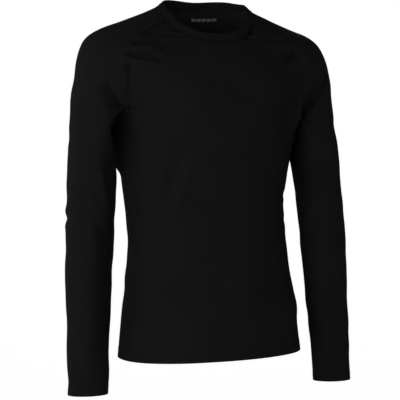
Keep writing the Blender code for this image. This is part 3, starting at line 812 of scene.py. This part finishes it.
def make_mesh(vertices, faces, flat=None):
    """A smooth-shaded mesh, without the points that no face uses, and its own flat map."""
    used, numbered = np.unique(faces, return_inverse=True)
    mesh = bpy.data.meshes.new("cloth")
    mesh.from_pydata(vertices[used], [], numbered.reshape(faces.shape), shade_flat=False)
    if flat is not None:
        layer = mesh.uv_layers.new(name="cloth_metres")
        layer.uv.foreach_set("vector", flat.astype(np.float32).ravel())
    mesh.set_sharp_from_angle(angle=math.radians(SHARP_DEG))
    if mesh.validate(verbose=False):
        raise ValueError("a cloth mesh had faulty faces")
    return mesh


def place(name, mesh, materials, replaced=()):
    """Links a finished piece, dresses it, and lets it ride on the garment's one body."""
    piece = bpy.data.objects.new(name, mesh)
    bpy.context.scene.collection.objects.link(piece)
    for material in materials:
        mesh.materials.append(material)
    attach(piece, "root")
    if replaced:
        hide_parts(*replaced)
    return piece


# ---- materials
# Each jersey: its colour's name, wear, relief, sheen, roughness and slub.
JERSEYS = {
    "body_jersey": ("body", 0.5, 0.00012, 0.012, 0.85, 0.5),
    "sleeve_jersey": ("sleeve", 0.5, 0.00012, 0.012, 0.85, 0.5),
    "band_jersey": ("band", 0.3, 0.00014, 0.012, 0.85, 0.2),
    # the reverse side: its colour is made lighter than the outside, as painted light where light falls
    # into the neck and the open ends
    "inner_jersey": ("inside", 0.4, 0.0001, 0.012, 0.9, 0.2),
    "woven_tab": ("label", 0.2, 0.00008, 0.05, 0.8, 0.0),
    "pale_print": ("print", 0.3, 0.00005, 0.0, 0.7, 0.0),
}
NAP = {  # how the jersey's fine hairs catch light
    "Specular IOR Level": 0.03,
    "Sheen Roughness": 0.45,
    "Sheen Tint": (0.9, 0.93, 1.0, 1),
}
THREADS = {"sewing_thread": 1.0, "covered_seam": 0.8}  # shares of the thread's colour
THREAD_SHINE = {"Roughness": 0.7, "Specular IOR Level": 0.05}
THREAD_RELIEF = (0.6, 0.0001)  # how strong and how deep
PLY_PAINTED_SHADE = (0.5, 0.75)  # painted shade in the grooves between plies and painted highlight on their crests: how much lighter a ply is where it stands out, and the tone between plies
PLY_WAVER = 0.5
# The jersey's noises: turns per metre across and along (and out), detail and roughness.
SLUB_NOISE = ((14.0, 900.0, 1.0), 3.0, 0.6)
WEAR_NOISE = ((9.0, 11.0, 1.0), 4.0, 0.55)
FUZZ_NOISE = ((420.0, 420.0, 1.0), 2.0, 0.7)
COLUMN_HEIGHT = 0.5
ROW_HEIGHT = 0.35
SLUB_FROM = 0.60  # the noise above this is thicker yarn
SLUB_GAIN = 6.0
SLUB_TONE = 0.5
FUZZ_TONE = 0.35
WEAR_DULLNESS = 0.12


def colour_of(name):
    return tuple(getattr(bpy.context.scene.base_layer_colours, name))


def socketed_group(name, inputs, outputs):
    """A new shader node group with number inputs and the named outputs."""
    group = bpy.data.node_groups.new(name, "ShaderNodeTree")
    for label, default in inputs:
        socket = group.interface.new_socket(label, in_out="INPUT", socket_type="NodeSocketFloat")
        socket.default_value = default
    for label, kind in outputs:
        group.interface.new_socket(label, in_out="OUTPUT", socket_type=kind)
    return group, group.nodes.new("NodeGroupInput"), group.nodes.new("NodeGroupOutput")


def feed(tree, socket, value):
    """Links a socket into another, or sets it to a number or colour."""
    if isinstance(value, bpy.types.NodeSocket):
        tree.links.new(value, socket)
    else:
        socket.default_value = value


def math_node(tree, operation, *values):
    """One Math node's result."""
    made = tree.nodes.new("ShaderNodeMath")
    made.operation = operation
    for socket, value in zip(made.inputs, values):
        feed(tree, socket, value)
    return made.outputs[0]


def noise(tree, vector, factors, detail, roughness):
    """Noise on a vector that is stretched by the factors."""
    made = tree.nodes.new("ShaderNodeTexNoise")
    stretched = tree.nodes.new("ShaderNodeVectorMath")
    stretched.operation = "MULTIPLY"
    feed(tree, stretched.inputs[0], vector)
    feed(tree, stretched.inputs[1], factors)
    feed(tree, made.inputs["Vector"], stretched.outputs[0])
    feed(tree, made.inputs["Scale"], 1.0)
    feed(tree, made.inputs["Detail"], detail)
    feed(tree, made.inputs["Roughness"], roughness)
    return made.outputs["Fac"]


@lru_cache(maxsize=1)
def knit_group():
    """Fine jersey: stitch columns and rows, thicker yarn here and there, and slow tone changes."""
    group, given, result = socketed_group(
        "Fine jersey",
        (("Columns per metre", 1500.0), ("Rows per metre", 1900.0), ("Slub", 0.5), ("Wear", 0.5)),
        (("Height", "NodeSocketFloat"), ("Tone", "NodeSocketFloat"), ("Dullness", "NodeSocketFloat")),
    )

    def worked(operation, *values):
        return math_node(group, operation, *values)

    def about_middle(value):
        return worked("SUBTRACT", value, 0.5)

    where = group.nodes.new("ShaderNodeUVMap")
    where.uv_map = "cloth_metres"
    cloth = where.outputs[0]
    parts = group.nodes.new("ShaderNodeSeparateXYZ")
    group.links.new(cloth, parts.inputs[0])
    turn = 2 * math.pi
    column = worked("MULTIPLY", parts.outputs["X"], given.outputs["Columns per metre"])
    row = worked("MULTIPLY", parts.outputs["Y"], given.outputs["Rows per metre"])
    round_column = worked("MULTIPLY", column, turn)
    leg = worked("ABSOLUTE", worked("SINE", round_column))
    row_wave = worked("SINE", worked("MULTIPLY_ADD", row, turn, leg))
    column_wave = worked("MULTIPLY", worked("COSINE", round_column), COLUMN_HEIGHT)
    loops = worked("MULTIPLY_ADD", row_wave, ROW_HEIGHT, column_wave)
    slub = noise(group, cloth, *SLUB_NOISE)
    thick = worked("MAXIMUM", worked("SUBTRACT", slub, SLUB_FROM), 0.0)
    thick = worked("MULTIPLY", worked("MULTIPLY", thick, SLUB_GAIN), given.outputs["Slub"])
    slow = about_middle(noise(group, cloth, *WEAR_NOISE))
    fuzz = about_middle(noise(group, cloth, *FUZZ_NOISE))
    tone = worked("MULTIPLY_ADD", slow, given.outputs["Wear"], 1.0)
    tone = worked("MULTIPLY_ADD", fuzz, FUZZ_TONE, tone)
    tone = worked("MULTIPLY_ADD", thick, SLUB_TONE, tone)
    group.links.new(worked("ADD", loops, thick), result.inputs["Height"])
    group.links.new(tone, result.inputs["Tone"])
    group.links.new(worked("MULTIPLY", slow, WEAR_DULLNESS), result.inputs["Dullness"])
    return group


def toned(name, colour, group, relief, distance, settings):
    """A material with a group's tone on a colour, its height as relief, and the shader's settings."""
    material = bpy.data.materials.new(name)
    material.use_nodes = True
    material.diffuse_color = (*colour, 1)
    tree = material.node_tree
    shader = tree.nodes["Principled BSDF"]
    effect = tree.nodes.new("ShaderNodeGroup")
    effect.node_tree = group
    mix = tree.nodes.new("ShaderNodeVectorMath")
    mix.operation = "SCALE"
    mix.inputs[0].default_value = colour
    tree.links.new(effect.outputs["Tone"], mix.inputs["Scale"])
    tree.links.new(mix.outputs[0], shader.inputs["Base Color"])
    bump = tree.nodes.new("ShaderNodeBump")
    bump.inputs["Strength"].default_value = relief
    bump.inputs["Distance"].default_value = distance
    tree.links.new(effect.outputs["Height"], bump.inputs["Height"])
    tree.links.new(bump.outputs[0], shader.inputs["Normal"])
    for label, value in settings.items():
        shader.inputs[label].default_value = value
    return material, effect, shader


@lru_cache(maxsize=None)
def jersey(name):
    """A dyed jersey: tone on its colour, its loops as relief, and a nap that catches light."""
    colour, wear, relief, sheen, roughness, slub = JERSEYS[name]
    settings = NAP | {"Sheen Weight": sheen}
    material, knit, shader = toned(name, colour_of(colour), knit_group(), 1.0, relief, settings)
    knit.inputs["Wear"].default_value = wear
    knit.inputs["Slub"].default_value = slub
    tree = material.node_tree
    tree.links.new(math_node(tree, "ADD", knit.outputs["Dullness"], roughness), shader.inputs["Roughness"])
    return material


@lru_cache(maxsize=1)
def twist_group():
    """Sewing thread: plies winding round it, with painted shade between them and lighter where they stand
    out.
    """
    group, given, result = socketed_group(
        "Thread twist",
        (("Plies per metre", 900.0),),
        (("Height", "NodeSocketFloat"), ("Tone", "NodeSocketFloat")),
    )
    where = group.nodes.new("ShaderNodeTexCoord")
    wave = group.nodes.new("ShaderNodeTexWave")
    group.links.new(where.outputs["Object"], wave.inputs["Vector"])
    group.links.new(given.outputs[0], wave.inputs["Scale"])
    wave.bands_direction = "DIAGONAL"
    wave.inputs["Distortion"].default_value = PLY_WAVER
    # painted shade: the tone follows the plies' height, darker in the grooves and lighter on the crests
    tone = math_node(group, "MULTIPLY_ADD", wave.outputs["Fac"], *PLY_PAINTED_SHADE)
    group.links.new(wave.outputs["Fac"], result.inputs["Height"])
    group.links.new(tone, result.inputs["Tone"])
    return group


@lru_cache(maxsize=None)
def thread(name):
    """Spun polyester thread, a little brighter and smoother than the cloth."""
    colour = tuple(THREADS[name] * part for part in colour_of("thread"))
    return toned(name, colour, twist_group(), *THREAD_RELIEF, THREAD_SHINE)[0]


# ---- sewing
SEWING_STEP = 0.0015  # between the points of a seam's line
STITCH_SHARES = (0.06, 0.25, 0.75, 0.94)  # the points of one stitch along its length
STITCH_LIFTS = (-0.9, 0.55, 0.55, -0.9)  # and how high they are, in thread radii
RIDGE_HEIGHT = 0.00045  # of a seam's joined cloth edges
RIDGE_SUNK = 0.0002  # and how far they lie in the cloth
RIDGE_POINTS = 7
RIDGE_FOOT = 0.9  # how wide its underside is, as a share of its top
NEEDLES_AT = 0.8  # a seam's rows of stitches, as a share of its half width
NEEDLES_LIFT = 0.00028
COVER_AT = 0.75  # and the edges of its covering thread
COVER_LIFT = 0.0003
COVER_OVER = 0.0002  # how far it passes over the needle threads
COVER_THICKNESS = 0.8  # of the thread's
COVER_SIDES = 4
HEM_STITCH_LIFT = 0.0001


def along(line, others):
    """A line of points, and what goes with each, read again at even steps on smooth curves."""
    knots = lengths(line)
    count = max(2, round(knots[-1] / SEWING_STEP))
    keep = np.insert(np.diff(knots) > SAME_POINT, 0, True)
    stack = np.stack([line, *others], axis=1)[keep]
    fine = cubic(knots[keep], stack, np.linspace(0, knots[-1], count + 1))
    return fine[:, 0], [fine[:, k + 1] for k in range(len(others))]


class Seam:
    """A seam line with the outward normal and the way into the cloth on either side."""

    def __init__(self, line, left, right):
        skin = garment()
        points = skin.points[line]
        others = [skin.normals[line], skin.points[left] - points, skin.points[right] - points]
        self.points, (normals, *ways) = along(points, others)
        self.normals = unit(normals)
        run = unit(np.gradient(self.points, axis=0))
        self.sides = [unit(way - (way * run).sum(axis=1)[:, None] * run) for way in ways]

    def beside(self, offset, height):
        """The line at an offset, negative to the left, laid on the cloth and lifted."""
        way = self.sides[0] if offset < 0 else self.sides[1]
        return self.points + way * abs(offset) + self.normals * height


def rolled(number):
    """Two triangles for each face round a tube, from the numbers of its rings' points."""
    after = np.roll(number, -1, axis=1)
    quads = np.stack([number[:-1], after[:-1], after[1:], number[1:]], axis=-1).reshape(-1, 4)
    return [quads[:, [0, 1, 2]], quads[:, [0, 2, 3]]]


def tube(points, normals, radius, sides=5):
    """A closed tube of triangles along points, with a fan at either end."""
    run = unit(np.gradient(points, axis=0))
    across = unit(np.cross(run, normals))
    up = np.cross(across, run)
    turn = 2 * np.pi * np.arange(sides)[:, None] / sides
    ring = np.cos(turn) * across[:, None] + np.sin(turn) * up[:, None]
    vertices = (points[:, None] + ring * radius).reshape(-1, 3)
    number = np.arange(len(vertices)).reshape(len(points), sides)
    fans = []
    for k, (end, way) in enumerate(((number[0], -1), (number[-1], 1))):
        first, second = (end, np.roll(end, -1))[::way]
        fans.append(np.stack([first, second, np.full(sides, len(vertices) + k)], axis=1))
    return np.concatenate([vertices, points[[0, -1]]]), np.concatenate([*rolled(number), *fans])


def gathered(parts):
    """Many small closed forms, each of vertices and triangles, as one mesh."""
    counts = np.cumsum([0] + [len(points) for points, _ in parts])
    faces = np.concatenate([triangles + count for (_, triangles), count in zip(parts, counts)])
    return make_mesh(np.concatenate([points for points, _ in parts]), faces)


def stitches(points, normals, length, radius):
    """Single stitches along a line: each dips into the cloth at both ends."""
    reach = lengths(points)
    count = max(1, round(reach[-1] / length))
    starts = np.arange(count) * reach[-1] / count
    at = starts[:, None] + np.array(STITCH_SHARES) * reach[-1] / count
    out = unit(read(normals, reach, at))
    laid = read(points, reach, at) + out * (np.array(STITCH_LIFTS) * radius)[:, None]
    return [tube(p, n, radius) for p, n in zip(laid, out)]


def zigzag(left, right, normals, length, radius):
    """The covering thread that swings between two lines."""
    reach = lengths((left + right) / 2)
    count = max(2, round(reach[-1] / length * 2))
    at = np.linspace(0, reach[-1], count + 1)
    out = unit(read(normals, reach, at))
    even = (np.arange(count + 1) % 2 == 0)[:, None]
    swing = np.where(even, read(left, reach, at), read(right, reach, at))
    path = np.empty((2 * count + 1, 3))
    path[0::2] = swing
    path[1::2] = (swing[:-1] + swing[1:]) / 2 + out[:-1] * radius
    out = np.repeat(out, 2, axis=0)[: len(path)]
    return tube(path + out * COVER_OVER, out, radius, COVER_SIDES)


def ridge(seam, half_width):
    """The low rounded ridge of joined cloth edges along a seam, closed all round."""
    shares = np.linspace(-1, 1, RIDGE_POINTS)
    rows = []
    for share in shares:
        rows.append(seam.beside(share * half_width, RIDGE_HEIGHT * (1 - share**2) ** 0.5 - RIDGE_SUNK))
    for share in shares[::-1]:
        rows.append(seam.beside(share * half_width * RIDGE_FOOT, -2 * RIDGE_SUNK))
    rings = np.stack(rows, axis=1)
    count = len(rows)
    number = np.arange(len(rings) * count).reshape(-1, count)
    faces = [triangles[:, ::-1] for triangles in rolled(number)]
    for end, way in ((number[0], 1), (number[-1], -1)):
        fan = np.stack([np.full(count - 2, end[0]), end[1:-1], end[2:]], axis=1)
        faces.append(fan[:, ::way])
    return rings.reshape(-1, 3), np.concatenate(faces)


def seam_lines(side):
    """The seams on one side of the garment, each as line, left and right neighbours in the skin."""
    grids = garment().grids
    front, back, arm = grids["front", side], grids["back", side], grids["arm", side]
    front_side, back_side = grids["front_side", side], grids["back_side", side]
    inner_back, inner_front = grids["inner_back", side], grids["inner_front", side]
    low = len(front_side)
    under = len(inner_back)
    line = [front[low:, -1][::-1], front_side[-1], back_side[-1, 1:], back[low:, 0]]
    body = [front[low:, -2][::-1], front_side[-2], back_side[-2, 1:], back[low:, 1]]
    sleeve = [
        arm[under:, 1][::-1],
        inner_front[-2, ::-1],
        inner_back[-2, ::-1][1:],
        arm[under:, -2],
    ]
    return {
        "armhole": tuple(np.concatenate(part) for part in (line, body, sleeve)),
        "side": (front_side[:, -1], front_side[:, -2], back_side[:, 1]),
        "sleeve": (inner_back[:, -1], inner_back[:, -2], inner_front[:, 1]),
    }


def neck_line():
    """The whole neck seam, with the panels below and the band above it."""
    grids = garment().grids
    halves = []
    for side in (1, -1):
        front, arm, back, band = (grids[name, side] for name in ("front", "arm", "back", "band"))
        halves.append((band[0], np.concatenate([front[-2], arm[-2, 1:], back[-2, 1:]]), band[1]))
    return tuple(np.concatenate([left, right[-2::-1]]) for left, right in zip(*halves))


def hem_line(names, side, height):
    """Points and normals at one height above the edge, along the named patches in turn."""
    skin = garment()
    points, normals = [], []
    for name in names:
        for column in skin.grids[name, side].T:
            reach = lengths(skin.points[column])
            points.append(read(skin.points[column], reach, height))
            normals.append(read(skin.normals[column], reach, height))
    points = np.array(points)
    keep = np.insert(np.linalg.norm(np.diff(points, axis=0), axis=1) > SAME_POINT, 0, True)
    return points[keep], np.array(normals)[keep]


def sample_patch(grid, columns, rows):
    """Points and normals on a patch at distances from its first column and its first row."""
    skin = garment()
    up = [
        [read(part[line], lengths(skin.points[line]), rows) for line in grid.T]
        for part in (skin.points, skin.normals)
    ]
    levels = np.swapaxes(up, 1, 2)
    points, normals = (
        np.array([read(level, lengths(line), columns) for level, line in zip(part, levels[0])])
        for part in levels
    )
    return points, unit(normals)


def plate(grid, start, form, lifts):
    """A closed thin plate on a patch: where it starts across and up, its form and two heights."""
    columns = start[0] + np.linspace(0, form.width, form.steps[0] + 1)
    rows = start[1] + np.linspace(0, form.height, form.steps[1] + 1)
    points, normals = sample_patch(grid, columns, rows)
    number, quad = grid_quads(*points.shape[:2])
    size = number.size
    vertices = np.concatenate([points + normals * lift for lift in lifts[::-1]]).reshape(-1, 3)
    if face_normals(vertices, quad)[0] @ (vertices[0] - vertices[size]) < 0:
        quad = quad[:, ::-1]
    edges = edges_of(quad)
    a, b = edges[~np.isin(keys(edges, size), keys(edges[:, ::-1], size))].T
    faces = np.concatenate([quad, quad[:, ::-1] + size, np.stack([b, a, a + size, b + size], axis=1)])
    flat = np.stack(np.meshgrid(columns, rows), axis=-1).reshape(-1, 2)
    return make_mesh(vertices, faces, np.concatenate([flat, flat])[faces])


# ---- sizes and colours that a user would change
def length_property(name, description, default):
    return FloatProperty(name=name, description=description, default=default, unit="LENGTH")


class BaseLayerSizes(bpy.types.PropertyGroup):
    """Sizes of the cloth and the sewing."""

    wall: length_property("Cloth", "Thickness of the jersey", 0.0009)
    band_wall: length_property("Neckband", "Thickness of the folded neckband", 0.0017)
    hem_height: length_property("Hem", "Height of the turned hem", 0.020)
    cuff_height: length_property("Cuff hem", "Height of the turned hem at the cuffs", 0.018)
    stitch: length_property("Stitch", "Length of one stitch", 0.0028)
    thread: length_property("Thread", "Half a thread's thickness", 0.00016)
    seam_width: length_property("Seam", "Width of the flat seams", 0.0055)
    unevenness: FloatProperty(
        name="Unevenness",
        description="How strongly the worn cloth undulates",
        default=1.0,
        subtype="FACTOR",
    )


def colour_property(name, description, default):
    return FloatVectorProperty(
        name=name, description=description, default=default, size=3, min=0, max=1, subtype="COLOR"
    )


class BaseLayerColours(bpy.types.PropertyGroup):
    """Colours of the cloth, thread, label and studio."""

    body: colour_property("Body", "Front and back panels", (0.0120, 0.0120, 0.0125))
    sleeve: colour_property("Sleeves", "Both sleeves", (0.0120, 0.0120, 0.0125))
    band: colour_property("Neckband", "Folded neckband", (0.0118, 0.0118, 0.0122))
    thread: colour_property("Thread", "Sewing thread", (0.0130, 0.0130, 0.0134))
    # Lighter than the outside: painted light on the reverse side, standing in for the light that falls
    # into the neck and the open ends.
    inside: colour_property("Inside", "Reverse side of the jersey", (0.0220, 0.0220, 0.0226))
    label: colour_property("Label", "Woven tab at the hem", (0.022, 0.022, 0.023))
    print: colour_property("Print", "Plain dashes on the tab and inside the neck", (0.26, 0.26, 0.26))
    floor: colour_property("Floor", "Studio floor and backdrop", (0.60, 0.60, 0.60))


# ---- the pieces
def make_panels(names, face, reverse, wall):
    """The cloth of the named panels, each shown in place of its solid."""
    for name in names:
        piece = place(f"{name}_cloth", cloth_piece(name, wall), (face, reverse), (name,))


class BASELAYER_OT_body(bpy.types.Operator):
    """Makes the front and back panels"""

    bl_idname = "base_layer.body"
    bl_label = "Body panels"

    def execute(self, context):
        wall = context.scene.base_layer_sizes.wall
        make_panels(PANELS[:2], jersey("body_jersey"), jersey("inner_jersey"), wall)
        return {"FINISHED"}


class BASELAYER_OT_sleeves(bpy.types.Operator):
    """Makes both raglan sleeves"""

    bl_idname = "base_layer.sleeves"
    bl_label = "Sleeves"

    def execute(self, context):
        wall = context.scene.base_layer_sizes.wall
        make_panels(PANELS[2:4], jersey("sleeve_jersey"), jersey("inner_jersey"), wall)
        return {"FINISHED"}


class BASELAYER_OT_neckband(bpy.types.Operator):
    """Makes the folded neckband"""

    bl_idname = "base_layer.neckband"
    bl_label = "Neckband"

    def execute(self, context):
        wall = context.scene.base_layer_sizes.band_wall
        make_panels(PANELS[4:], jersey("band_jersey"), jersey("band_jersey"), wall)
        return {"FINISHED"}


class BASELAYER_OT_seams(bpy.types.Operator):
    """Makes the flat seams with their needle threads and covering threads"""

    bl_idname = "base_layer.seams"
    bl_label = "Flat seams"

    def execute(self, context):
        sizes = context.scene.base_layer_sizes
        half = sizes.seam_width / 2
        runs = {"neck": neck_line()}
        for side, word in ((1, "left"), (-1, "right")):
            runs |= {f"{word}_{name}": line for name, line in seam_lines(side).items()}
        for name, line in runs.items():
            seam = Seam(*line)
            place(f"{name}_seam", gathered([ridge(seam, half)]), (thread("covered_seam"),))
            parts = []
            for side in (-1, 1):
                row = seam.beside(side * NEEDLES_AT * half, NEEDLES_LIFT)
                parts += stitches(row, seam.normals, sizes.stitch, sizes.thread)
            left, right = (seam.beside(side * COVER_AT * half, COVER_LIFT) for side in (-1, 1))
            parts.append(zigzag(left, right, seam.normals, sizes.stitch, sizes.thread * COVER_THICKNESS))
            place(f"{name}_seam_thread", gathered(parts), (thread("sewing_thread"),))
        return {"FINISHED"}


class BASELAYER_OT_hems(bpy.types.Operator):
    """Makes the two rows of stitches that hold the turned hem and cuffs"""

    bl_idname = "base_layer.hems"
    bl_label = "Hem stitches"

    def execute(self, context):
        sizes = context.scene.base_layer_sizes
        body = ("front", "front_side", "back_side", "back")
        cuff = ("arm", "inner_back", "inner_front")
        for title, names, height, slot, sides in (
            ("hem", body, sizes.hem_height, "front_body", (1, -1)),
            ("left_cuff", cuff, sizes.cuff_height, "left_sleeve", (1,)),
            ("right_cuff", cuff, sizes.cuff_height, "right_sleeve", (-1,)),
        ):
            parts = []
            for side, row in product(sides, needle_rows(height)):
                line, normals = hem_line(names, side, row)
                line, (normals,) = along(line, [normals])
                normals = unit(normals)
                parts += stitches(line + normals * HEM_STITCH_LIFT, normals, sizes.stitch, sizes.thread)
            place(f"{title}_stitches", gathered(parts), (thread("sewing_thread"),))
        return {"FINISHED"}


class BASELAYER_OT_label(bpy.types.Operator):
    """Makes the blank woven tab in the left side seam"""

    bl_idname = "base_layer.label"
    bl_label = "Side label"

    def execute(self, context):
        grid = garment().grids["front_side", 1][:, ::-1]
        x, z = LABEL.from_seam, LABEL.above_hem
        tab = plate(grid, (x, z), LABEL, LABEL.lifts)
        place("side_tab", tab, (jersey("woven_tab"),), ("side_label",))
        start = (x + LABEL_DASH.from_side, z + LABEL_DASH.above_foot)
        dash = plate(grid, start, LABEL_DASH, LABEL_DASH.lifts)
        place("side_tab_dash", dash, (jersey("pale_print"),))
        return {"FINISHED"}


class BASELAYER_OT_print(bpy.types.Operator):
    """Makes a row of plain dashes inside the back of the neck"""

    bl_idname = "base_layer.neck_print"
    bl_label = "Neck print"

    def execute(self, context):
        form = NECK_DASHES
        grid = garment().grids["back", 1][::-1, ::-1]
        lifts = [-context.scene.base_layer_sizes.wall - lift for lift in form.lifts]
        for number in range(form.count):
            start = (form.start + form.step * number, form.below + form.drop * number)
            dash = plate(grid, start, form, lifts)
            place(f"neck_dash_{number + 1}", dash, (jersey("pale_print"),))
        return {"FINISHED"}


class BASELAYER_OT_stage(bpy.types.Operator):
    """Makes the pale floor with its sweep, the lights and the camera"""

    bl_idname = "base_layer.stage"
    bl_label = "Studio"

    def execute(self, context):
        make_floor(tuple(context.scene.base_layer_colours.floor))
        make_lights()
        make_camera()
        return {"FINISHED"}


# ---- studio
FLOOR_Z = -1.45  # a standing wearer's floor
COVE_RADIUS = 6.5
COVE_SIDES = 96
COVE_HEIGHT = 6.0
COVE_BEND = 2.0
COVE_BEND_STEPS = 20
PAPER_ROUGHNESS = 0.9
PAPER_SEEN = 0.95  # how strongly the paper glows to the eye, so that it stays an even white
PAPER_LIGHT = 0.0  # and how strongly it lights the cloth


def make_floor(colour):
    """A round floor that curves up into a wall all round."""
    bpy.ops.object.select_all(action="DESELECT")
    bpy.ops.mesh.primitive_circle_add(
        vertices=COVE_SIDES, radius=COVE_RADIUS, fill_type="NGON", location=(0, 0, 0)
    )
    floor = bpy.context.object
    floor.name = "floor"
    for vertex in floor.data.vertices:
        vertex.co.z = FLOOR_Z
    bpy.ops.object.mode_set(mode="EDIT")
    bpy.ops.mesh.select_mode(type="EDGE")
    bpy.ops.mesh.select_all(action="SELECT")
    bpy.ops.mesh.extrude_edges_move(TRANSFORM_OT_translate={"value": (0, 0, COVE_HEIGHT)})
    bpy.ops.mesh.select_all(action="DESELECT")
    bpy.ops.object.mode_set(mode="OBJECT")
    for edge in floor.data.edges:
        ends = [floor.data.vertices[i].co for i in edge.vertices]
        edge.select = all(end.z < FLOOR_Z + COVE_HEIGHT / 2 for end in ends)
    bpy.ops.object.mode_set(mode="EDIT")
    bpy.ops.mesh.bevel(offset=COVE_BEND, segments=COVE_BEND_STEPS, affect="EDGES")
    bpy.ops.mesh.select_all(action="SELECT")
    bpy.ops.mesh.normals_make_consistent(inside=True)
    bpy.ops.object.mode_set(mode="OBJECT")
    bpy.ops.object.shade_smooth()
    material = bpy.data.materials.new("studio_paper")
    material.use_nodes = True
    tree = material.node_tree
    shader = tree.nodes["Principled BSDF"]
    shader.inputs["Base Color"].default_value = (*colour, 1)
    shader.inputs["Roughness"].default_value = PAPER_ROUGHNESS
    shader.inputs["Emission Color"].default_value = (1, 1, 1, 1)
    tree.links.new(seen_or_lighting(tree, PAPER_SEEN, PAPER_LIGHT), shader.inputs["Emission Strength"])
    floor.data.materials.append(material)


def seen_or_lighting(tree, seen, lighting):
    """One strength for what is looked at and another for the light that it gives."""
    ray = tree.nodes.new("ShaderNodeLightPath").outputs["Is Camera Ray"]
    return math_node(tree, "MULTIPLY_ADD", ray, seen - lighting, lighting)


# Name, turn from the camera towards the garment's left, height in degrees, distance,
# size and power of each soft light, all aimed at the chest.
LIGHTS = (
    ("key", -20, 3, 3.0, 1.8, 29.5),
    ("side_fill", -52, 18, 1.9, 1.1, 7.7),
    ("far_fill", 50, 7, 3.0, 1.6, 12.3),
    ("edge", -112, 12, 2.6, 1.6, 11.7),
    ("back", 180, 14, 3.2, 1.8, 20.0),
    ("back_fill", 120, 20, 2.8, 1.6, 5.0),
)
LIGHTS_AIM = (0.0, 0.0, -0.35)
SKY_LIGHT = 0.015


def make_lights():
    for name, turn, rise, away, size, power in LIGHTS:
        light = bpy.data.lights.new(name, "AREA")
        light.shape = "SQUARE"
        light.size = size
        light.energy = power
        lamp = bpy.data.objects.new(name, light)
        bpy.context.scene.collection.objects.link(lamp)
        turn, rise = math.radians(CAMERA_AZIMUTH + turn), math.radians(rise)
        way = (math.sin(turn) * math.cos(rise), -math.cos(turn) * math.cos(rise), math.sin(rise))
        lamp.location = [a + away * w for a, w in zip(LIGHTS_AIM, way)]
        lamp.visible_camera = False
        aim(lamp, LIGHTS_AIM)
    world = bpy.data.worlds.new("studio")
    bpy.context.scene.world = world
    world.use_nodes = True
    sky = world.node_tree.nodes["Background"]
    sky.inputs["Color"].default_value = (1, 1, 1, 1)
    world.node_tree.links.new(
        seen_or_lighting(world.node_tree, 1.0, SKY_LIGHT), sky.inputs["Strength"]
    )
    bpy.context.scene.view_settings.view_transform = "Standard"


def aim(thing, target):
    way = Vector(target) - thing.location
    thing.rotation_mode = "QUATERNION"
    thing.rotation_quaternion = way.to_track_quat("-Z", "Y")


CAMERA_AZIMUTH = -22.0
CAMERA_AWAY = 3.0
CAMERA_Z = -0.2907
FOCAL_PX = 1503.0  # on a picture 400 pixels wide
AXIS_PX = (206.0, 156.0)  # where the level view line lands in it
PICTURE = 400
SENSOR_MM = 36
CAMERA_SEES_TO = 100


def make_camera():
    """Level with the chest, turned to the wearer's right, through a long lens."""
    data = bpy.data.cameras.new("camera")
    data.sensor_width = SENSOR_MM
    data.lens = FOCAL_PX / PICTURE * SENSOR_MM
    camera = bpy.data.objects.new("camera", data)
    bpy.context.scene.collection.objects.link(camera)
    turn = math.radians(CAMERA_AZIMUTH)
    camera.location = (CAMERA_AWAY * math.sin(turn), -CAMERA_AWAY * math.cos(turn), CAMERA_Z)
    yaw = math.atan((PICTURE / 2 - AXIS_PX[0]) / FOCAL_PX)
    pitch = math.atan((AXIS_PX[1] - PICTURE / 2) / FOCAL_PX)
    matrix = Matrix.Rotation(turn - yaw, 4, "Z") @ Matrix.Rotation(math.pi / 2 + pitch, 4, "X")
    camera.rotation_mode = "QUATERNION"
    camera.rotation_quaternion = matrix.to_quaternion()
    data.clip_end = CAMERA_SEES_TO
    bpy.context.scene.camera = camera


class BASELAYER_PT_panel(bpy.types.Panel):
    """Lists the garment's makers, sizes and colours"""

    bl_idname = "BASELAYER_PT_panel"
    bl_label = "Base layer top"
    bl_space_type = "VIEW_3D"
    bl_region_type = "UI"
    bl_category = "Base layer"

    def draw(self, context):
        for group in (context.scene.base_layer_sizes, context.scene.base_layer_colours):
            for name in group.bl_rna.properties.keys():
                if name not in ("rna_type", "name"):
                    self.layout.prop(group, name)
        for operator in OPERATORS:
            self.layout.operator(operator.bl_idname)


OPERATORS = (
    BASELAYER_OT_body,
    BASELAYER_OT_sleeves,
    BASELAYER_OT_neckband,
    BASELAYER_OT_seams,
    BASELAYER_OT_hems,
    BASELAYER_OT_label,
    BASELAYER_OT_print,
    BASELAYER_OT_stage,
)
CLASSES = (BaseLayerSizes, BaseLayerColours, *OPERATORS, BASELAYER_PT_panel)


def register():
    for made in CLASSES:
        bpy.utils.register_class(made)
    bpy.types.Scene.base_layer_sizes = PointerProperty(type=BaseLayerSizes)
    bpy.types.Scene.base_layer_colours = PointerProperty(type=BaseLayerColours)


def unregister():
    del bpy.types.Scene.base_layer_sizes
    del bpy.types.Scene.base_layer_colours
    for made in reversed(CLASSES):
        bpy.utils.unregister_class(made)


def main():
    register()
    for operator in OPERATORS:
        family, name = operator.bl_idname.split(".")
        getattr(getattr(bpy.ops, family), name)()
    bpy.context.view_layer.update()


if __name__ == "__main__":
    main()
